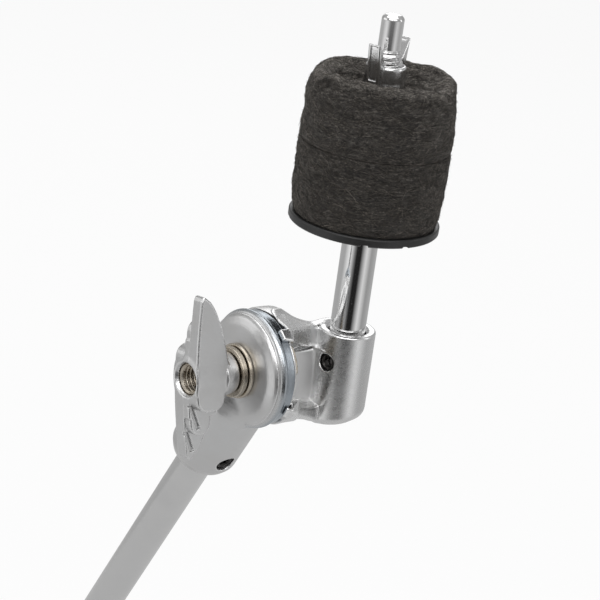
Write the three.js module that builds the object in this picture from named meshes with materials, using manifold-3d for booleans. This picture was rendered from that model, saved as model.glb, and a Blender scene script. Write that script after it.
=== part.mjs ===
// Upper end of a cymbal boom: boom tube, friction tilter, cymbal rod and seat.
// Units are millimetres.  +Z is up and is the cymbal rod's own direction.
// Pieces are laid out about the tilt pivot: the tilter bolt's axis (along X)
// where it crosses the friction plane (X = 0).  The wing nut is on the -X side,
// the rod holder on the +X side, and the boom tube leaves down and toward +Y.
// Every piece is then moved by the same amount, so that the finished frame's
// origin is the centre of the boom tube's plugged lower end.
import * as THREE from 'three';
import { mergeVertices } from 'three/addons/utils/BufferGeometryUtils.js';
import { ConvexGeometry } from 'three/addons/geometries/ConvexGeometry.js';
import Module from 'manifold-3d';

const vec = (x, y, z) => new THREE.Vector3(x, y, z);
const rad = THREE.MathUtils.degToRad;
const X = vec(1, 0, 0);
const Y = vec(0, 1, 0);
const Z = vec(0, 0, 1);
const PIVOT = vec(0, 0, 0);
const NUT_DIR = vec(-1, 0, 0);    // from the pivot toward the tilter wing nut

// ---------------------------------------------------------------- dimensions
// Boom tube and its socket; distances run along the tube from the pivot
const TUBE_LEAN = rad(29.56);     // off the vertical, toward +Y
const TUBE_X = -1.7;              // tube axis, just to the nut side of the pivot
const TUBE_R = 5.25;
const TUBE_BORE_R = 3.75;
const TUBE_TOP = 17.4;
const TUBE_END = 250.0;
const PLUG_OUT = 3.2;             // how far the end plug stands out of the tube
const PLUG_HEAD = TUBE_END + 0.25;    // where the plug widens, just clear of the tube
const HOLDER_R = 9.8;             // tube socket, outside
const HOLDER_END = 38.5;
const TUBE_SCREW_AT = 32.0;
const SOCK_CLEAR = 0.2;           // radial clearance of a tube or rod in its socket

// Tilter; heights marked "out" run from the pivot toward -X
const DISC_R = 15.7;              // tube holder's friction disc
const RIM_CLEAR = 0.35;           // radial room cut round that disc's radius
const GAP = 0.35;                 // half the gap between the two castings
const FACE_OUT = 7.7;             // washer face of the tube holder
const LINING_BORE_R = 6.0;
const LINING_R = 14.8;
const LINING_OUT = 1.3;
const LINING_CLEAR = 0.3;         // groove beyond the lining, on every side
const BOLT_R = 3.9;               // M8, also the cymbal rod's thread
const BOLT_HOLE_R = BOLT_R + 0.3;
const BOLT_OUT = 18.0;
const HEAD_SEAT_X = 3.1;          // floor of the bolt head's recess
const WING_OUT = 24.75;           // outer face of the tilter wing nut
const WING_LEN = 22.8;            // half the length of the wing nut
const WING_TILT = rad(9.7);       // wing direction off vertical in the YZ plane
const WING_ROOT = 8.5;            // how far each wing plate runs past the bolt axis
const WING_CORE = 15.6;           // half the length of the middle plate
const INSERT_R = 4.75;
const INSERT_OUT = 23.8;

// Cymbal rod and its socket
const ROD_X = 29.4;
const ROD_R = 5.0;
const ROD_FOOT = -15.5;
const SHOULDER = 39.6;            // rod steps down to the M8 thread here
const THREAD_TOP = 86.7;
const PILOT_R = 3.05;
const ROD_TOP = 95.0;
const SOCK_R = 8.0;               // rod socket, outside
const SOCK_TOP = 7.3;
const SOCK_BOT = -20.6;
const ROD_SCREW_Z = -1.6;
const ROD_SCREW_AZ = rad(12);     // screw direction off -X, toward -Y
const HOLDER_DISC_X = 1.2;        // back of the rod holder's thin disc
const WEB_Y = 2.8;                // floor of the open pocket in the rod holder

// Seat, felts and cymbal wing nut
const FLANGE_R = 20.75;
const FLANGE_Z = 38.07;
const FLANGE_TOP = FLANGE_Z + 2.4;
const NOTCH_ANGLES = [-129, -96, -30, 30, 84, 150];
const SLEEVE_R = 5.4;
const SLEEVE_BORE_R = 4.25;
const SLEEVE_TOP = 73.9;
const FELT_R = 20.4;
const FELT_BORE_R = SLEEVE_R + 0.35;
const FELT_BOT = FLANGE_TOP + 0.15;
const FELT_MID = 61.2;            // where the two felts meet
const FELT_GAP = 0.1;             // each felt stands this far from that plane
const FELT_TOP = 81.9;
const HUB_R = 6.2;                // cymbal wing nut hub
const HUB_BOT = 75.1;
const HUB_TOP = 83.0;
const EAR_AZ = 30.0;              // direction of the ears about the rod
const EAR_T = 2.8;

const SCREW_CLEAR = 0.2;          // radial clearance of a set screw in its hole
const SCREW_TIP_GAP = 0.05;       // between a set screw and what it bears on

// Sides of a turned piece
const SEG_BODY = 40;
const SEG_BOLT = 32;
const SEG_ROD = 28;
const SEG_TUBE = 24;
const HEX = 6;

// Derived directions and places
const TUBE_DIR = vec(0, Math.sin(TUBE_LEAN), -Math.cos(TUBE_LEAN));
const TUBE_SIDE = vec(0, -Math.cos(TUBE_LEAN), -Math.sin(TUBE_LEAN));  // across the tube
const TUBE_BASE = vec(TUBE_X, 0, 0);
const ROD_BASE = vec(ROD_X, 0, 0);
const ORIGIN = TUBE_BASE.clone().addScaledVector(TUBE_DIR, TUBE_END + PLUG_OUT);

const TUBE_SCREW = {
  at: TUBE_BASE.clone().addScaledVector(TUBE_DIR, TUBE_SCREW_AT),
  dir: TUBE_SIDE,
  radius: 2.5,
  inner: TUBE_R + SCREW_TIP_GAP,
  outer: HOLDER_R - 1.0,
};
const ROD_SCREW = {
  at: vec(ROD_X, 0, ROD_SCREW_Z),
  dir: vec(-Math.cos(ROD_SCREW_AZ), -Math.sin(ROD_SCREW_AZ), 0),
  radius: 2.3,
  inner: ROD_R + SCREW_TIP_GAP,
  outer: SOCK_R - 0.9,
};

// ----------------------------------------------------------------- materials
const SATIN = { color: 0xb4b6b8, roughness: 0.38, metalness: 0.9 };
const CHROME = { color: 0xc8cacc, roughness: 0.12, metalness: 1.0 };
const NICKEL = { color: 0xa0988a, roughness: 0.3, metalness: 0.95 };
const BLACK = { color: 0x141414, roughness: 0.5, metalness: 0.1 };
const STEEL = { color: 0x262626, roughness: 0.45, metalness: 0.7 };
const FELT = { color: 0x35322f, roughness: 0.95, metalness: 0.0 };

// ------------------------------------------------------------------- helpers
const wasm = await Module();
wasm.setup();

// closed geometry to a Manifold: welded, without collapsed faces, facing outward
function solid(geometry) {
  const bare = geometry.clone();
  bare.deleteAttribute('uv');
  bare.deleteAttribute('normal');
  const welded = mergeVertices(bare, 1e-4);
  const position = welded.attributes.position;
  const index = welded.index.array;
  const corner = (i) => new THREE.Vector3().fromBufferAttribute(position, i);
  const faces = [];
  let volume = 0;
  for (let i = 0; i < index.length; i += 3) {
    const [first, second, third] = index.slice(i, i + 3);
    if (first === second || second === third || first === third) continue;
    faces.push(first, second, third);
    volume += corner(first).dot(corner(second).cross(corner(third)));
  }
  if (volume < 0) faces.reverse();
  return new wasm.Manifold(new wasm.Mesh({
    numProp: 3,
    vertProperties: Float32Array.from(position.array),
    triVerts: Uint32Array.from(faces),
  }));
}

const cut = (body, ...tools) => tools.reduce((rest, tool) => rest.subtract(tool), body);
const join = (body, ...others) => others.reduce((sum, other) => sum.add(other), body);

// profile of [radius, height] pairs turned about the line through `at` along `dir`
function turn(profile, at, dir, segments = SEG_BODY) {
  const points = profile.map(([radius, height]) => new THREE.Vector2(radius, height));
  const geometry = new THREE.LatheGeometry(points, segments);
  const unit = dir.clone().normalize();
  geometry.applyQuaternion(new THREE.Quaternion().setFromUnitVectors(Y, unit));
  geometry.translate(at.x, at.y, at.z);
  return solid(geometry);
}

// the same for a ring: the profile is closed back to its first point
const turnRing = (profile, ...placing) => turn([...profile, profile[0]], ...placing);

const cylinder = (radius, start, end, ...placing) =>
  turn([[0, start], [radius, start], [radius, end], [0, end]], ...placing);

const plainRing = (bore, radius, start, end, ...placing) =>
  turnRing([[bore, start], [radius, start], [radius, end], [bore, end]], ...placing);

// outline in the (across, up) plane, standing from `start` to `end` along the third axis
function extrude(outline, start, end, [across, up, along], at = PIVOT) {
  const shape = new THREE.Shape(outline.map(([u, v]) => new THREE.Vector2(u, v)));
  const geometry = new THREE.ExtrudeGeometry(shape, { depth: end - start, bevelEnabled: false });
  const corner = at.clone().addScaledVector(along, start);
  geometry.applyMatrix4(new THREE.Matrix4().makeBasis(across, up, along).setPosition(corner));
  return solid(geometry);
}
const slabXY = (outline, z0, z1) => extrude(outline, z0, z1, [X, Y, Z]);
const slabXZ = (outline, y0, y1) => extrude(outline, -y1, -y0, [X, Z, vec(0, -1, 0)]);

// point at a radius about X; the angle is in degrees from +Z toward -Y
const rimPoint = (x, radius, angle) =>
  vec(x, -radius * Math.sin(rad(angle)), radius * Math.cos(rad(angle)));

// convex hull of rim points [x, radius, angle] and plain points [x, y, z]
const hull = (rimRows, pointRows = []) => solid(new ConvexGeometry([
  ...rimRows.map((row) => rimPoint(...row)),
  ...pointRows.map((row) => vec(...row)),
]));

// horizontal unit vector at an angle in degrees from +X toward +Y
const heading = (degrees) => vec(Math.cos(rad(degrees)), Math.sin(rad(degrees)), 0);

// ---------------------------------------------------------------- set screws
function setScrew({ at, dir, radius, inner, outer }) {
  const body = turn([
    [0, inner], [radius - 0.7, inner], [radius, inner + 0.7],
    [radius, outer - 0.3], [radius - 0.3, outer], [0, outer],
  ], at, dir, SEG_TUBE);
  return cut(body, cylinder(1.45, outer - 2.4, outer + 1, at, dir, HEX));
}

const screwHole = ({ at, dir, radius }) =>
  cylinder(radius + SCREW_CLEAR, 3.0, 20, at, dir, SEG_TUBE);

// ----------------------------------------------------------------- boom tube
const boomTube = () => turnRing([
  [TUBE_BORE_R, TUBE_TOP], [TUBE_R - 0.5, TUBE_TOP], [TUBE_R, TUBE_TOP + 0.6],
  [TUBE_R, TUBE_END - 0.4], [TUBE_R - 0.4, TUBE_END], [TUBE_BORE_R, TUBE_END],
], TUBE_BASE, TUBE_DIR, SEG_TUBE);

function tubeEndPlug() {
  const stemR = TUBE_BORE_R - 0.2;
  const end = TUBE_END + PLUG_OUT;
  return turn([
    [0, TUBE_END - 13], [stemR - 0.5, TUBE_END - 13], [stemR, TUBE_END - 11],
    [stemR, PLUG_HEAD], [TUBE_R, PLUG_HEAD], [TUBE_R, end - 1.0],
    [TUBE_R - 1.0, end], [0, end],
  ], TUBE_BASE, TUBE_DIR, SEG_TUBE);
}

// ---------------------------------------- tube holder, the casting on the -X side
function tubeHolder() {
  const domed = turn([
    [0, FACE_OUT], [9.0, FACE_OUT], [12.6, 7.3], [14.5, 6.6], [15.3, 5.8], [15.0, 5.3],
    [15.9, 4.9], [16.3, 4.3], [16.3, 3.4], [15.8, 3.05], [15.8, 1.5],
    [DISC_R, GAP + 0.3], [DISC_R - 0.3, GAP], [0, GAP],
  ], PIVOT, NUT_DIR);
  const barrel = turn([
    [0, 8.2], [5.0, 8.2], [8.4, 9.8], [HOLDER_R, 12.6], [HOLDER_R, HOLDER_END - 2.4],
    [HOLDER_R - 0.8, HOLDER_END - 0.7], [HOLDER_R - 2.4, HOLDER_END], [0, HOLDER_END],
  ], TUBE_BASE, TUBE_DIR);
  const swingRoom = cylinder(DISC_R + RIM_CLEAR, -GAP, 20, PIVOT, X);  // for the other disc
  const tubeHole = cylinder(
    TUBE_R + SOCK_CLEAR, TUBE_TOP - 0.4, 60, TUBE_BASE, TUBE_DIR, SEG_TUBE);
  const boltHole = cylinder(BOLT_HOLE_R, -20, 20, PIVOT, X, SEG_BOLT);
  const liningGroove = plainRing(LINING_BORE_R - LINING_CLEAR, LINING_R + LINING_CLEAR,
    -3, LINING_OUT + LINING_CLEAR, PIVOT, NUT_DIR);
  return cut(join(domed, cut(barrel, swingRoom)),
    tubeHole, boltHole, liningGroove, screwHole(TUBE_SCREW));
}

const brakeLining = () =>
  plainRing(LINING_BORE_R, LINING_R, -0.2, LINING_OUT, PIVOT, NUT_DIR);

// ----------------------------------------- rod holder, the casting on the +X side
// Edges of the link from disc to socket seen along Y, [x, z]
const LINK_TOP = [
  [1.0, 15.5], [3.5, 15.5], [6.5, 15.0], [9.0, 13.2], [12.0, 11.4],
  [15.0, 9.8], [18.0, 8.6], [21.0, 7.8], [ROD_X, SOCK_TOP],
];
const LINK_BOTTOM = [
  [ROD_X, -18.9], [24.0, -20.2], [21.5, -20.5], [18.0, -18.9], [15.0, -17.4],
  [11.0, -15.9], [8.0, -15.4], [5.0, -15.3], [1.0, -15.4],
];
// Link seen from above, [x, y]
const LINK_PLAN = [
  [1.0, -16], [3.0, -14.5], [7.0, -10.0], [9.1, -8.3], [13.0, -6.0], [17.0, -3.8],
  [21.4, -1.5], [ROD_X, -1.5], [ROD_X, 7.9], [14.0, 8.4], [8.0, 10.5], [3.0, 14.0], [1.0, 15],
];
// Largest radius of the link about the bolt axis, [radius, x]
const LINK_ROUND = [
  [0, 0.9], [15.6, 0.9], [16.0, 9.0], [17.6, 14.0], [20.5, 20.0], [26, 30], [0, 30],
];

// the link, with its pocket open toward -Y
function holderLink() {
  const blank = slabXZ([...LINK_TOP, ...LINK_BOTTOM], -17, 17)
    .intersect(slabXY(LINK_PLAN, -25, 20))
    .intersect(turn(LINK_ROUND, PIVOT, X));
  const pocketRound = cut(turn([
    [0, HOLDER_DISC_X], [13.0, HOLDER_DISC_X], [13.2, 12], [14.6, 20], [15.5, ROD_X], [0, ROD_X],
  ], PIVOT, X), cylinder(8.6, 0, HEAD_SEAT_X, PIVOT, X));
  const pocketSide = slabXZ([
    [HOLDER_DISC_X, 9.4], [5.2, 7.8], [12.6, 3.8], [21.6, 1.4],
    [30, 1.2], [30, -30], [HOLDER_DISC_X, -30],
  ], -30, WEB_Y);
  // slants the -Y edge of the flange above the pocket
  const slant = slabXY([
    [HOLDER_DISC_X, -30], [HOLDER_DISC_X, -9.0], [7.3, -5.2], [12.6, -1.5],
    [21.0, 4.0], [30, 4.0], [30, -30],
  ], 1.0, 30);
  return cut(blank, pocketRound.intersect(pocketSide), pocketMouth(), slant);
}

// sector of a ring about X that opens the pocket through the rim
function pocketMouth() {
  const STEPS = 10;
  const START = 48;
  const END = 107;
  const arc = (radius) => Array.from({ length: STEPS + 1 }, (_, i) => {
    const point = rimPoint(0, radius, START + (END - START) * i / STEPS);
    return [point.y, point.z];
  });
  return extrude([...arc(22), ...arc(12.6).reverse()], HOLDER_DISC_X, 9.0, [Y, Z, X]);
}

function rodSocket() {
  const body = turn([
    [0, SOCK_BOT], [SOCK_R - 3.0, SOCK_BOT], [SOCK_R - 1.2, SOCK_BOT + 0.7],
    [SOCK_R - 0.2, SOCK_BOT + 2.2], [SOCK_R, SOCK_BOT + 3.2],
    [SOCK_R, SOCK_TOP - 0.4], [SOCK_R - 0.4, SOCK_TOP], [0, SOCK_TOP],
  ], ROD_BASE, Z);
  const slopingFoot = slabXZ([
    [12, -24.0], [21, -21.4], [24, -20.1], [ROD_X, -18.6],
    [34, -18.1], [39, -17.4], [39, -30], [12, -30],
  ], -12, 12);
  return cut(body, slopingFoot);
}

// corners of the link's two flanges that reach round the rim of the other disc
const upperFinger = () => join(
  hull([
    [-2.6, 17.3, 32.0], [-2.5, 17.0, 43.5], [-2.6, 16.1, 32.5], [-2.5, 16.1, 43.5],
    [0.6, 16.9, 33.4], [0.6, 16.9, 46], [0.6, 16.1, 33.4], [0.6, 16.1, 46],
  ]),
  hull(
    [[GAP, 16.9, 33.4], [GAP, 16.9, 46], [GAP, 13.5, 33.4], [GAP, 13.5, 46]],
    [[7.3, -5.2, 11.5], [5.4, -6.3, 8.0], [7.3, 1.0, 11.5], [5.4, 1.0, 8.0]],
  ),
);
const lowerFinger = () => join(
  hull([
    [-2.2, 17.0, 109], [-1.9, 16.9, 120], [-2.2, 16.1, 109], [-1.9, 16.1, 120],
    [0.6, 17.3, 108], [0.6, 17.2, 122], [0.6, 16.1, 108], [0.6, 16.1, 122],
  ]),
  hull(
    [[GAP, 17.3, 108], [GAP, 17.2, 122], [GAP, 13.6, 110], [GAP, 13.6, 130]],
    [[8.0, -9.4, -9.4], [8.0, -9.4, -12.6], [8.0, -3.0, -13.4], [8.0, -3.0, -15.2]],
  ),
);

function rodHolder() {
  const disc = turn([
    [0, GAP], [15.1, GAP], [15.4, GAP + 0.3], [15.4, HOLDER_DISC_X],
    [8.8, HOLDER_DISC_X], [8.4, HEAD_SEAT_X], [0, HEAD_SEAT_X],
  ], PIVOT, X);
  const headRoom = cylinder(7.8, HEAD_SEAT_X, 8.0, PIVOT, X, SEG_BOLT);
  const boltHole = cylinder(BOLT_HOLE_R, -1, 5, PIVOT, X, SEG_BOLT);
  const rodHoleR = ROD_R + SOCK_CLEAR;
  const rodHole = turn([
    [0, ROD_FOOT - 0.3], [rodHoleR, ROD_FOOT - 0.3], [rodHoleR, SOCK_TOP - 0.9],
    [ROD_R + 1.1, SOCK_TOP + 0.2], [0, SOCK_TOP + 0.2],
  ], ROD_BASE, Z);
  return cut(join(disc, holderLink(), rodSocket(), upperFinger(), lowerFinger()),
    headRoom, boltHole, rodHole, screwHole(ROD_SCREW));
}

// ----------------------------------------------------------- tilter hardware
function tilterBolt() {
  const head = turn([
    [0, 3.3], [7.1, 3.3], [7.4, 3.6], [7.4, 7.2], [6.9, 7.7], [0, 7.7],
  ], PIVOT, X, HEX);
  const shank = turn([
    [0, BOLT_OUT], [BOLT_R - 0.7, BOLT_OUT], [BOLT_R, BOLT_OUT - 0.7], [BOLT_R, -4.5], [0, -4.5],
  ], PIVOT, NUT_DIR, SEG_BOLT);
  return join(head, shank);
}

function washer(bore, radius, start, end) {
  const EDGE = 0.25;    // chamfer of both outer edges
  return turnRing([
    [bore, start], [radius - EDGE, start], [radius, start + EDGE],
    [radius, end - EDGE], [radius - EDGE, end], [bore, end],
  ], PIVOT, NUT_DIR);
}

// Wing nut: three stepped plates, two-fold symmetric about the bolt axis.
// Plate outlines are [x, u], with u the distance from the bolt along the wings.
const WING_DIR = vec(0, Math.sin(WING_TILT), Math.cos(WING_TILT));
const WING_FLAT = vec(0, -Math.cos(WING_TILT), Math.sin(WING_TILT));  // through the plates
const WING_AXES = [X, WING_DIR, WING_FLAT];
const WING_STATIONS = [16, 12, 8, 4, 0, -4, -8];
// Edge of the wings nearer the castings, [distance from the bolt axis, x]
const WING_INNER = [
  [0, -13.9], [4, -14.2], [8.6, -15.2], [14.1, -16.7], [18.0, -18.3], [20.6, -19.7],
];

function innerX(u) {
  const distance = Math.abs(u);
  const next = WING_INNER.findIndex(([station], i) => i > 0 && distance <= station);
  if (next < 0) return WING_INNER.at(-1)[1];
  const [u0, x0] = WING_INNER[next - 1];
  const [u1, x1] = WING_INNER[next];
  return x0 + (x1 - x0) * (distance - u0) / (u1 - u0);
}
const outerX = (u) => -WING_OUT + 0.0029 * u * u;

// U-shaped end, from the inner edge round to the outer edge; sign is +1 for the upper end
function roundEnd(u, sign) {
  const STEPS = 8;
  const DEPTH = 4.2;
  const centre = (outerX(u) + innerX(u)) / 2;
  const halfWidth = (innerX(u) - outerX(u)) / 2;
  return Array.from({ length: STEPS + 1 }, (_, i) => {
    const angle = Math.PI * i / STEPS;
    return [centre + halfWidth * Math.cos(angle), u - sign * DEPTH * (1 - Math.sin(angle))];
  });
}

const bluntTip = (u) => [
  [innerX(u) + 0.6, u - 2.2], [innerX(u) - 0.6, u - 0.6], [innerX(u) - 1.6, u],
  [outerX(u) + 0.5, u], [outerX(u), u - 0.6],
];

function plateOutline(low, high, highEnd) {
  const END_ROOM = 4.3;    // stations keep this far from the ends
  const stations = WING_STATIONS.filter((u) => u < high - END_ROOM && u > low + END_ROOM);
  return [
    ...highEnd,
    ...stations.map((u) => [outerX(u), u]),
    ...roundEnd(low, -1).reverse(),
    ...stations.reverse().map((u) => [innerX(u), u]),
  ];
}

function tilterWingNut() {
  const wing = plateOutline(-WING_ROOT, WING_LEN, bluntTip(WING_LEN));
  const mirrored = wing.map(([x, u]) => [x, -u]).reverse();
  const core = plateOutline(-WING_CORE, WING_CORE, roundEnd(WING_CORE, 1));
  const upperWing = extrude(wing, 1.1, 5.0, WING_AXES);
  const middle = extrude(core, -1.2, 1.2, WING_AXES);
  const lowerWing = extrude(mirrored, -5.6, -1.1, WING_AXES);
  const boss = cylinder(5.8, 11.3, 14.4, PIVOT, NUT_DIR);
  const hub = cylinder(4.98, 13.5, WING_OUT - 0.25, PIVOT, NUT_DIR);
  const bore = cylinder(INSERT_R + 0.1, 11.0, INSERT_OUT + 0.1, PIVOT, NUT_DIR, SEG_BOLT);
  const mouth = turn([
    [0, 20], [4.1, 20], [4.1, 24.3], [4.7, 25.4], [0, 25.4],
  ], PIVOT, NUT_DIR, SEG_BOLT);
  return cut(join(upperWing, middle, lowerWing, boss, hub), bore, mouth);
}

const nutInsert = () => turnRing([
  [3.35, INSERT_OUT], [INSERT_R - 0.4, INSERT_OUT], [INSERT_R, INSERT_OUT - 0.4],
  [INSERT_R, 11.4], [4.15, 11.4], [4.15, 18.2], [3.35, 18.5],
], PIVOT, NUT_DIR, SEG_BOLT);

// ---------------------------------------------------------------- cymbal rod
const cymbalRod = () => turn([
  [0, ROD_FOOT], [ROD_R - 0.5, ROD_FOOT], [ROD_R, ROD_FOOT + 0.5],
  [ROD_R, SHOULDER - 0.3], [ROD_R - 0.3, SHOULDER], [BOLT_R, SHOULDER],
  [BOLT_R, THREAD_TOP - 0.6], [PILOT_R, THREAD_TOP], [PILOT_R, ROD_TOP - 0.9],
  [PILOT_R - 0.7, ROD_TOP - 0.15], [PILOT_R - 1.2, ROD_TOP], [0, ROD_TOP],
], ROD_BASE, Z, SEG_ROD);

// ------------------------------------------------------------- seat and felts
function seatFlange() {
  const boreR = ROD_R + 0.3;
  const step = SHOULDER + 0.25;
  const body = turnRing([
    [boreR, FLANGE_Z + 0.2], [boreR + 0.2, FLANGE_Z], [FLANGE_R - 0.5, FLANGE_Z],
    [FLANGE_R, FLANGE_Z + 0.5], [FLANGE_R, FLANGE_TOP - 0.3], [FLANGE_R - 0.3, FLANGE_TOP],
    [SLEEVE_R, FLANGE_TOP], [SLEEVE_R, SLEEVE_TOP - 0.4], [SLEEVE_R - 0.3, SLEEVE_TOP],
    [SLEEVE_BORE_R, SLEEVE_TOP], [SLEEVE_BORE_R, step], [boreR, step],
  ], ROD_BASE, Z);
  // shallow notches under the rim
  const notchOutline = [[19.6, -1.0], [22, -1.0], [22, 1.0], [19.6, 1.0]];
  const notches = NOTCH_ANGLES.map((angle) => extrude(notchOutline,
    FLANGE_Z - 0.7, FLANGE_Z + 0.6, [heading(angle), heading(angle + 90), Z], ROD_BASE));
  return cut(body, ...notches);
}

function lowerFelt() {
  const top = FELT_MID - FELT_GAP;
  return turnRing([
    [FELT_BORE_R, FELT_BOT], [FELT_R - 0.9, FELT_BOT], [FELT_R - 0.2, FELT_BOT + 0.7],
    [FELT_R, FELT_BOT + 3], [FELT_R + 0.2, FELT_BOT + 10], [FELT_R, FELT_MID - 2.2],
    [FELT_R - 0.5, FELT_MID - 0.7], [FELT_R - 1.4, top], [FELT_BORE_R, top],
  ], ROD_BASE, Z);
}

// dished at the top, round the wing nut's hub
function upperFelt() {
  const bottom = FELT_MID + FELT_GAP;
  return turnRing([
    [FELT_BORE_R, bottom], [FELT_R - 1.4, bottom], [FELT_R - 0.5, FELT_MID + 0.7],
    [FELT_R, FELT_MID + 2.2], [FELT_R, 70], [FELT_R - 0.6, 76], [19.3, 79.6], [18.4, 81.2],
    [17.2, FELT_TOP], [15.8, 81.4], [13.2, 78.0], [10.6, 75.2], [9.2, 74.8], [FELT_BORE_R, 74.8],
  ], ROD_BASE, Z);
}

// ----------------------------------------------------------- cymbal wing nut
// Outline of one ear, [distance from the rod axis, z]
const EAR = [
  [3.0, 76.8], [7.6, 76.8], [8.2, 78.2], [9.7, 89.4], [9.4, 90.6], [8.6, 91.0],
  [6.3, 91.0], [5.4, 90.2], [4.9, 84.6], [4.9, 82.6], [3.0, 82.0],
];

function cymbalWingNut() {
  const hub = turn([
    [0, HUB_BOT], [7.8, HUB_BOT], [8.4, HUB_BOT + 0.5], [8.4, HUB_BOT + 1.2],
    [6.9, HUB_BOT + 2.2], [HUB_R, HUB_BOT + 3.6], [HUB_R, HUB_TOP - 0.8],
    [HUB_R - 0.7, HUB_TOP], [0, HUB_TOP],
  ], ROD_BASE, Z);
  const ears = [EAR_AZ, EAR_AZ + 180].map((angle) => extrude(EAR,
    -EAR_T / 2, EAR_T / 2, [heading(angle), Z, heading(angle - 90)], ROD_BASE));
  return cut(join(hub, ...ears), cylinder(BOLT_HOLE_R, 60, 100, ROD_BASE, Z, SEG_ROD));
}

// ------------------------------------------------------------------ assembly
const part = new THREE.Group();
part.name = 'cymbal_boom_arm';

function add(name, body, finish) {
  const { numProp, vertProperties, triVerts } = body.getMesh();
  const count = vertProperties.length / numProp;
  const positions = new Float32Array(count * 3);
  for (let i = 0; i < count; i++) {
    for (let k = 0; k < 3; k++) {
      positions[3 * i + k] = vertProperties[i * numProp + k] - ORIGIN.getComponent(k);
    }
  }
  const geometry = new THREE.BufferGeometry();
  geometry.setAttribute('position', new THREE.BufferAttribute(positions, 3));
  geometry.setIndex(new THREE.BufferAttribute(Uint32Array.from(triVerts), 1));
  geometry.computeVertexNormals();
  const mesh = new THREE.Mesh(geometry, new THREE.MeshStandardMaterial(finish));
  mesh.name = name;
  part.add(mesh);
}

add('boom_tube', boomTube(), CHROME);
add('tube_end_plug', tubeEndPlug(), BLACK);
add('tube_holder', tubeHolder(), SATIN);
add('tube_set_screw', setScrew(TUBE_SCREW), STEEL);
add('brake_lining', brakeLining(), BLACK);
add('rod_holder', rodHolder(), SATIN);
add('rod_set_screw', setScrew(ROD_SCREW), STEEL);
add('tilter_bolt', tilterBolt(), NICKEL);
add('flat_washer', washer(4.3, 7.5, FACE_OUT + 0.1, FACE_OUT + 1.4), NICKEL);
add('spring_washer', washer(4.3, 7.0, FACE_OUT + 1.5, FACE_OUT + 3.4), NICKEL);
add('tilter_wing_nut', tilterWingNut(), SATIN);
add('nut_insert', nutInsert(), NICKEL);
add('cymbal_rod', cymbalRod(), CHROME);
add('seat_flange', seatFlange(), BLACK);
add('lower_felt', lowerFelt(), FELT);
add('upper_felt', upperFelt(), FELT);
add('cymbal_wing_nut', cymbalWingNut(), CHROME);

export default part;
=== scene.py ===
import math

import bpy
import numpy as np
from mathutils import Matrix, Vector


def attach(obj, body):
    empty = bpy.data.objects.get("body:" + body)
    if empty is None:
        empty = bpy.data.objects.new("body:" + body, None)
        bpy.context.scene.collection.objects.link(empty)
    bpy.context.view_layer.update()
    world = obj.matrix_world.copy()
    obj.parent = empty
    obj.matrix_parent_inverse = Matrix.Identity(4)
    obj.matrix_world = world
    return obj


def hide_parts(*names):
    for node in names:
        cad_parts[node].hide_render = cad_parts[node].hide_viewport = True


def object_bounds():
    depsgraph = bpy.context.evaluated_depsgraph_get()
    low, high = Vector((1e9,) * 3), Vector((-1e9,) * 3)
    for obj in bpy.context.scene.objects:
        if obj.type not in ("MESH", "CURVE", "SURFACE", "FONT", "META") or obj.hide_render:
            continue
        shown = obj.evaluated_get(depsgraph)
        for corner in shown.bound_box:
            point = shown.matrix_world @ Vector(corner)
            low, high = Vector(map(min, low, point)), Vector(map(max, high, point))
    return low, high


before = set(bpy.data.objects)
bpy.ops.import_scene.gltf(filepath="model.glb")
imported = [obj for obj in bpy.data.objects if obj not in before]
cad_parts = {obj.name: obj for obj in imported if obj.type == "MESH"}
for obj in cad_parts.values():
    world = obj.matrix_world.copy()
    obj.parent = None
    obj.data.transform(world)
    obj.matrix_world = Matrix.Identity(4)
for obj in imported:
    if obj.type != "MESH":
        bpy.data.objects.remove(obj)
CAD_LO, CAD_HI = [list(v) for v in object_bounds()]


def pick(full):
    return full


# ------------------------------------------------------------- shared sizes (mm)
MM = 0.001
CASTING_STEP = pick(0.25)                   # sampling step of the castings

X_AXIS, _, Z_AXIS = np.eye(3)
NUT_AXIS = -X_AXIS                                # from the pivot towards the tilter wing nut
PIVOT = np.zeros(3)

BOOM_LEAN = math.radians(29.56)
BOOM_AXIS = np.array([0.0, math.sin(BOOM_LEAN), -math.cos(BOOM_LEAN)])     # down the tube
BOOM_CROSS = np.array([0.0, -math.cos(BOOM_LEAN), -math.sin(BOOM_LEAN)])   # across it, in YZ
BOOM_START = np.array([-1.7, 0.0, 0.0])
BOOM_END = 253.2                                  # from the start to the plug's end face
TO_FRAME = -(BOOM_START + BOOM_AXIS * BOOM_END)   # moves the layout to the frame's origin

ROD_X = 29.4
ROD_AT = np.array([ROD_X, 0.0, 0.0])

TUBE_SCREW_AT = BOOM_START + BOOM_AXIS * 32.0
ROD_SCREW_AT = ROD_AT + np.array([0, 0, -1.6])
ROD_SCREW_TURN = math.radians(12)
ROD_SCREW_AXIS = np.array([-math.cos(ROD_SCREW_TURN), -math.sin(ROD_SCREW_TURN), 0.0])

WING_TILT = math.radians(9.7)
WING_ALONG = np.array([0.0, math.sin(WING_TILT), math.cos(WING_TILT)])
WING_ACROSS = np.array([0.0, -math.cos(WING_TILT), math.sin(WING_TILT)])   # through its thickness

THREAD_PITCH = 1.25
THREAD_DEPTH = 0.62
FELT_JOINT = 61.2                                 # height at which the two felts meet


# ---------------------------------------------------------------- mesh helpers
def add_object(name, data):
    ob = bpy.data.objects.new(name, data)
    bpy.context.scene.collection.objects.link(ob)
    return ob


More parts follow.
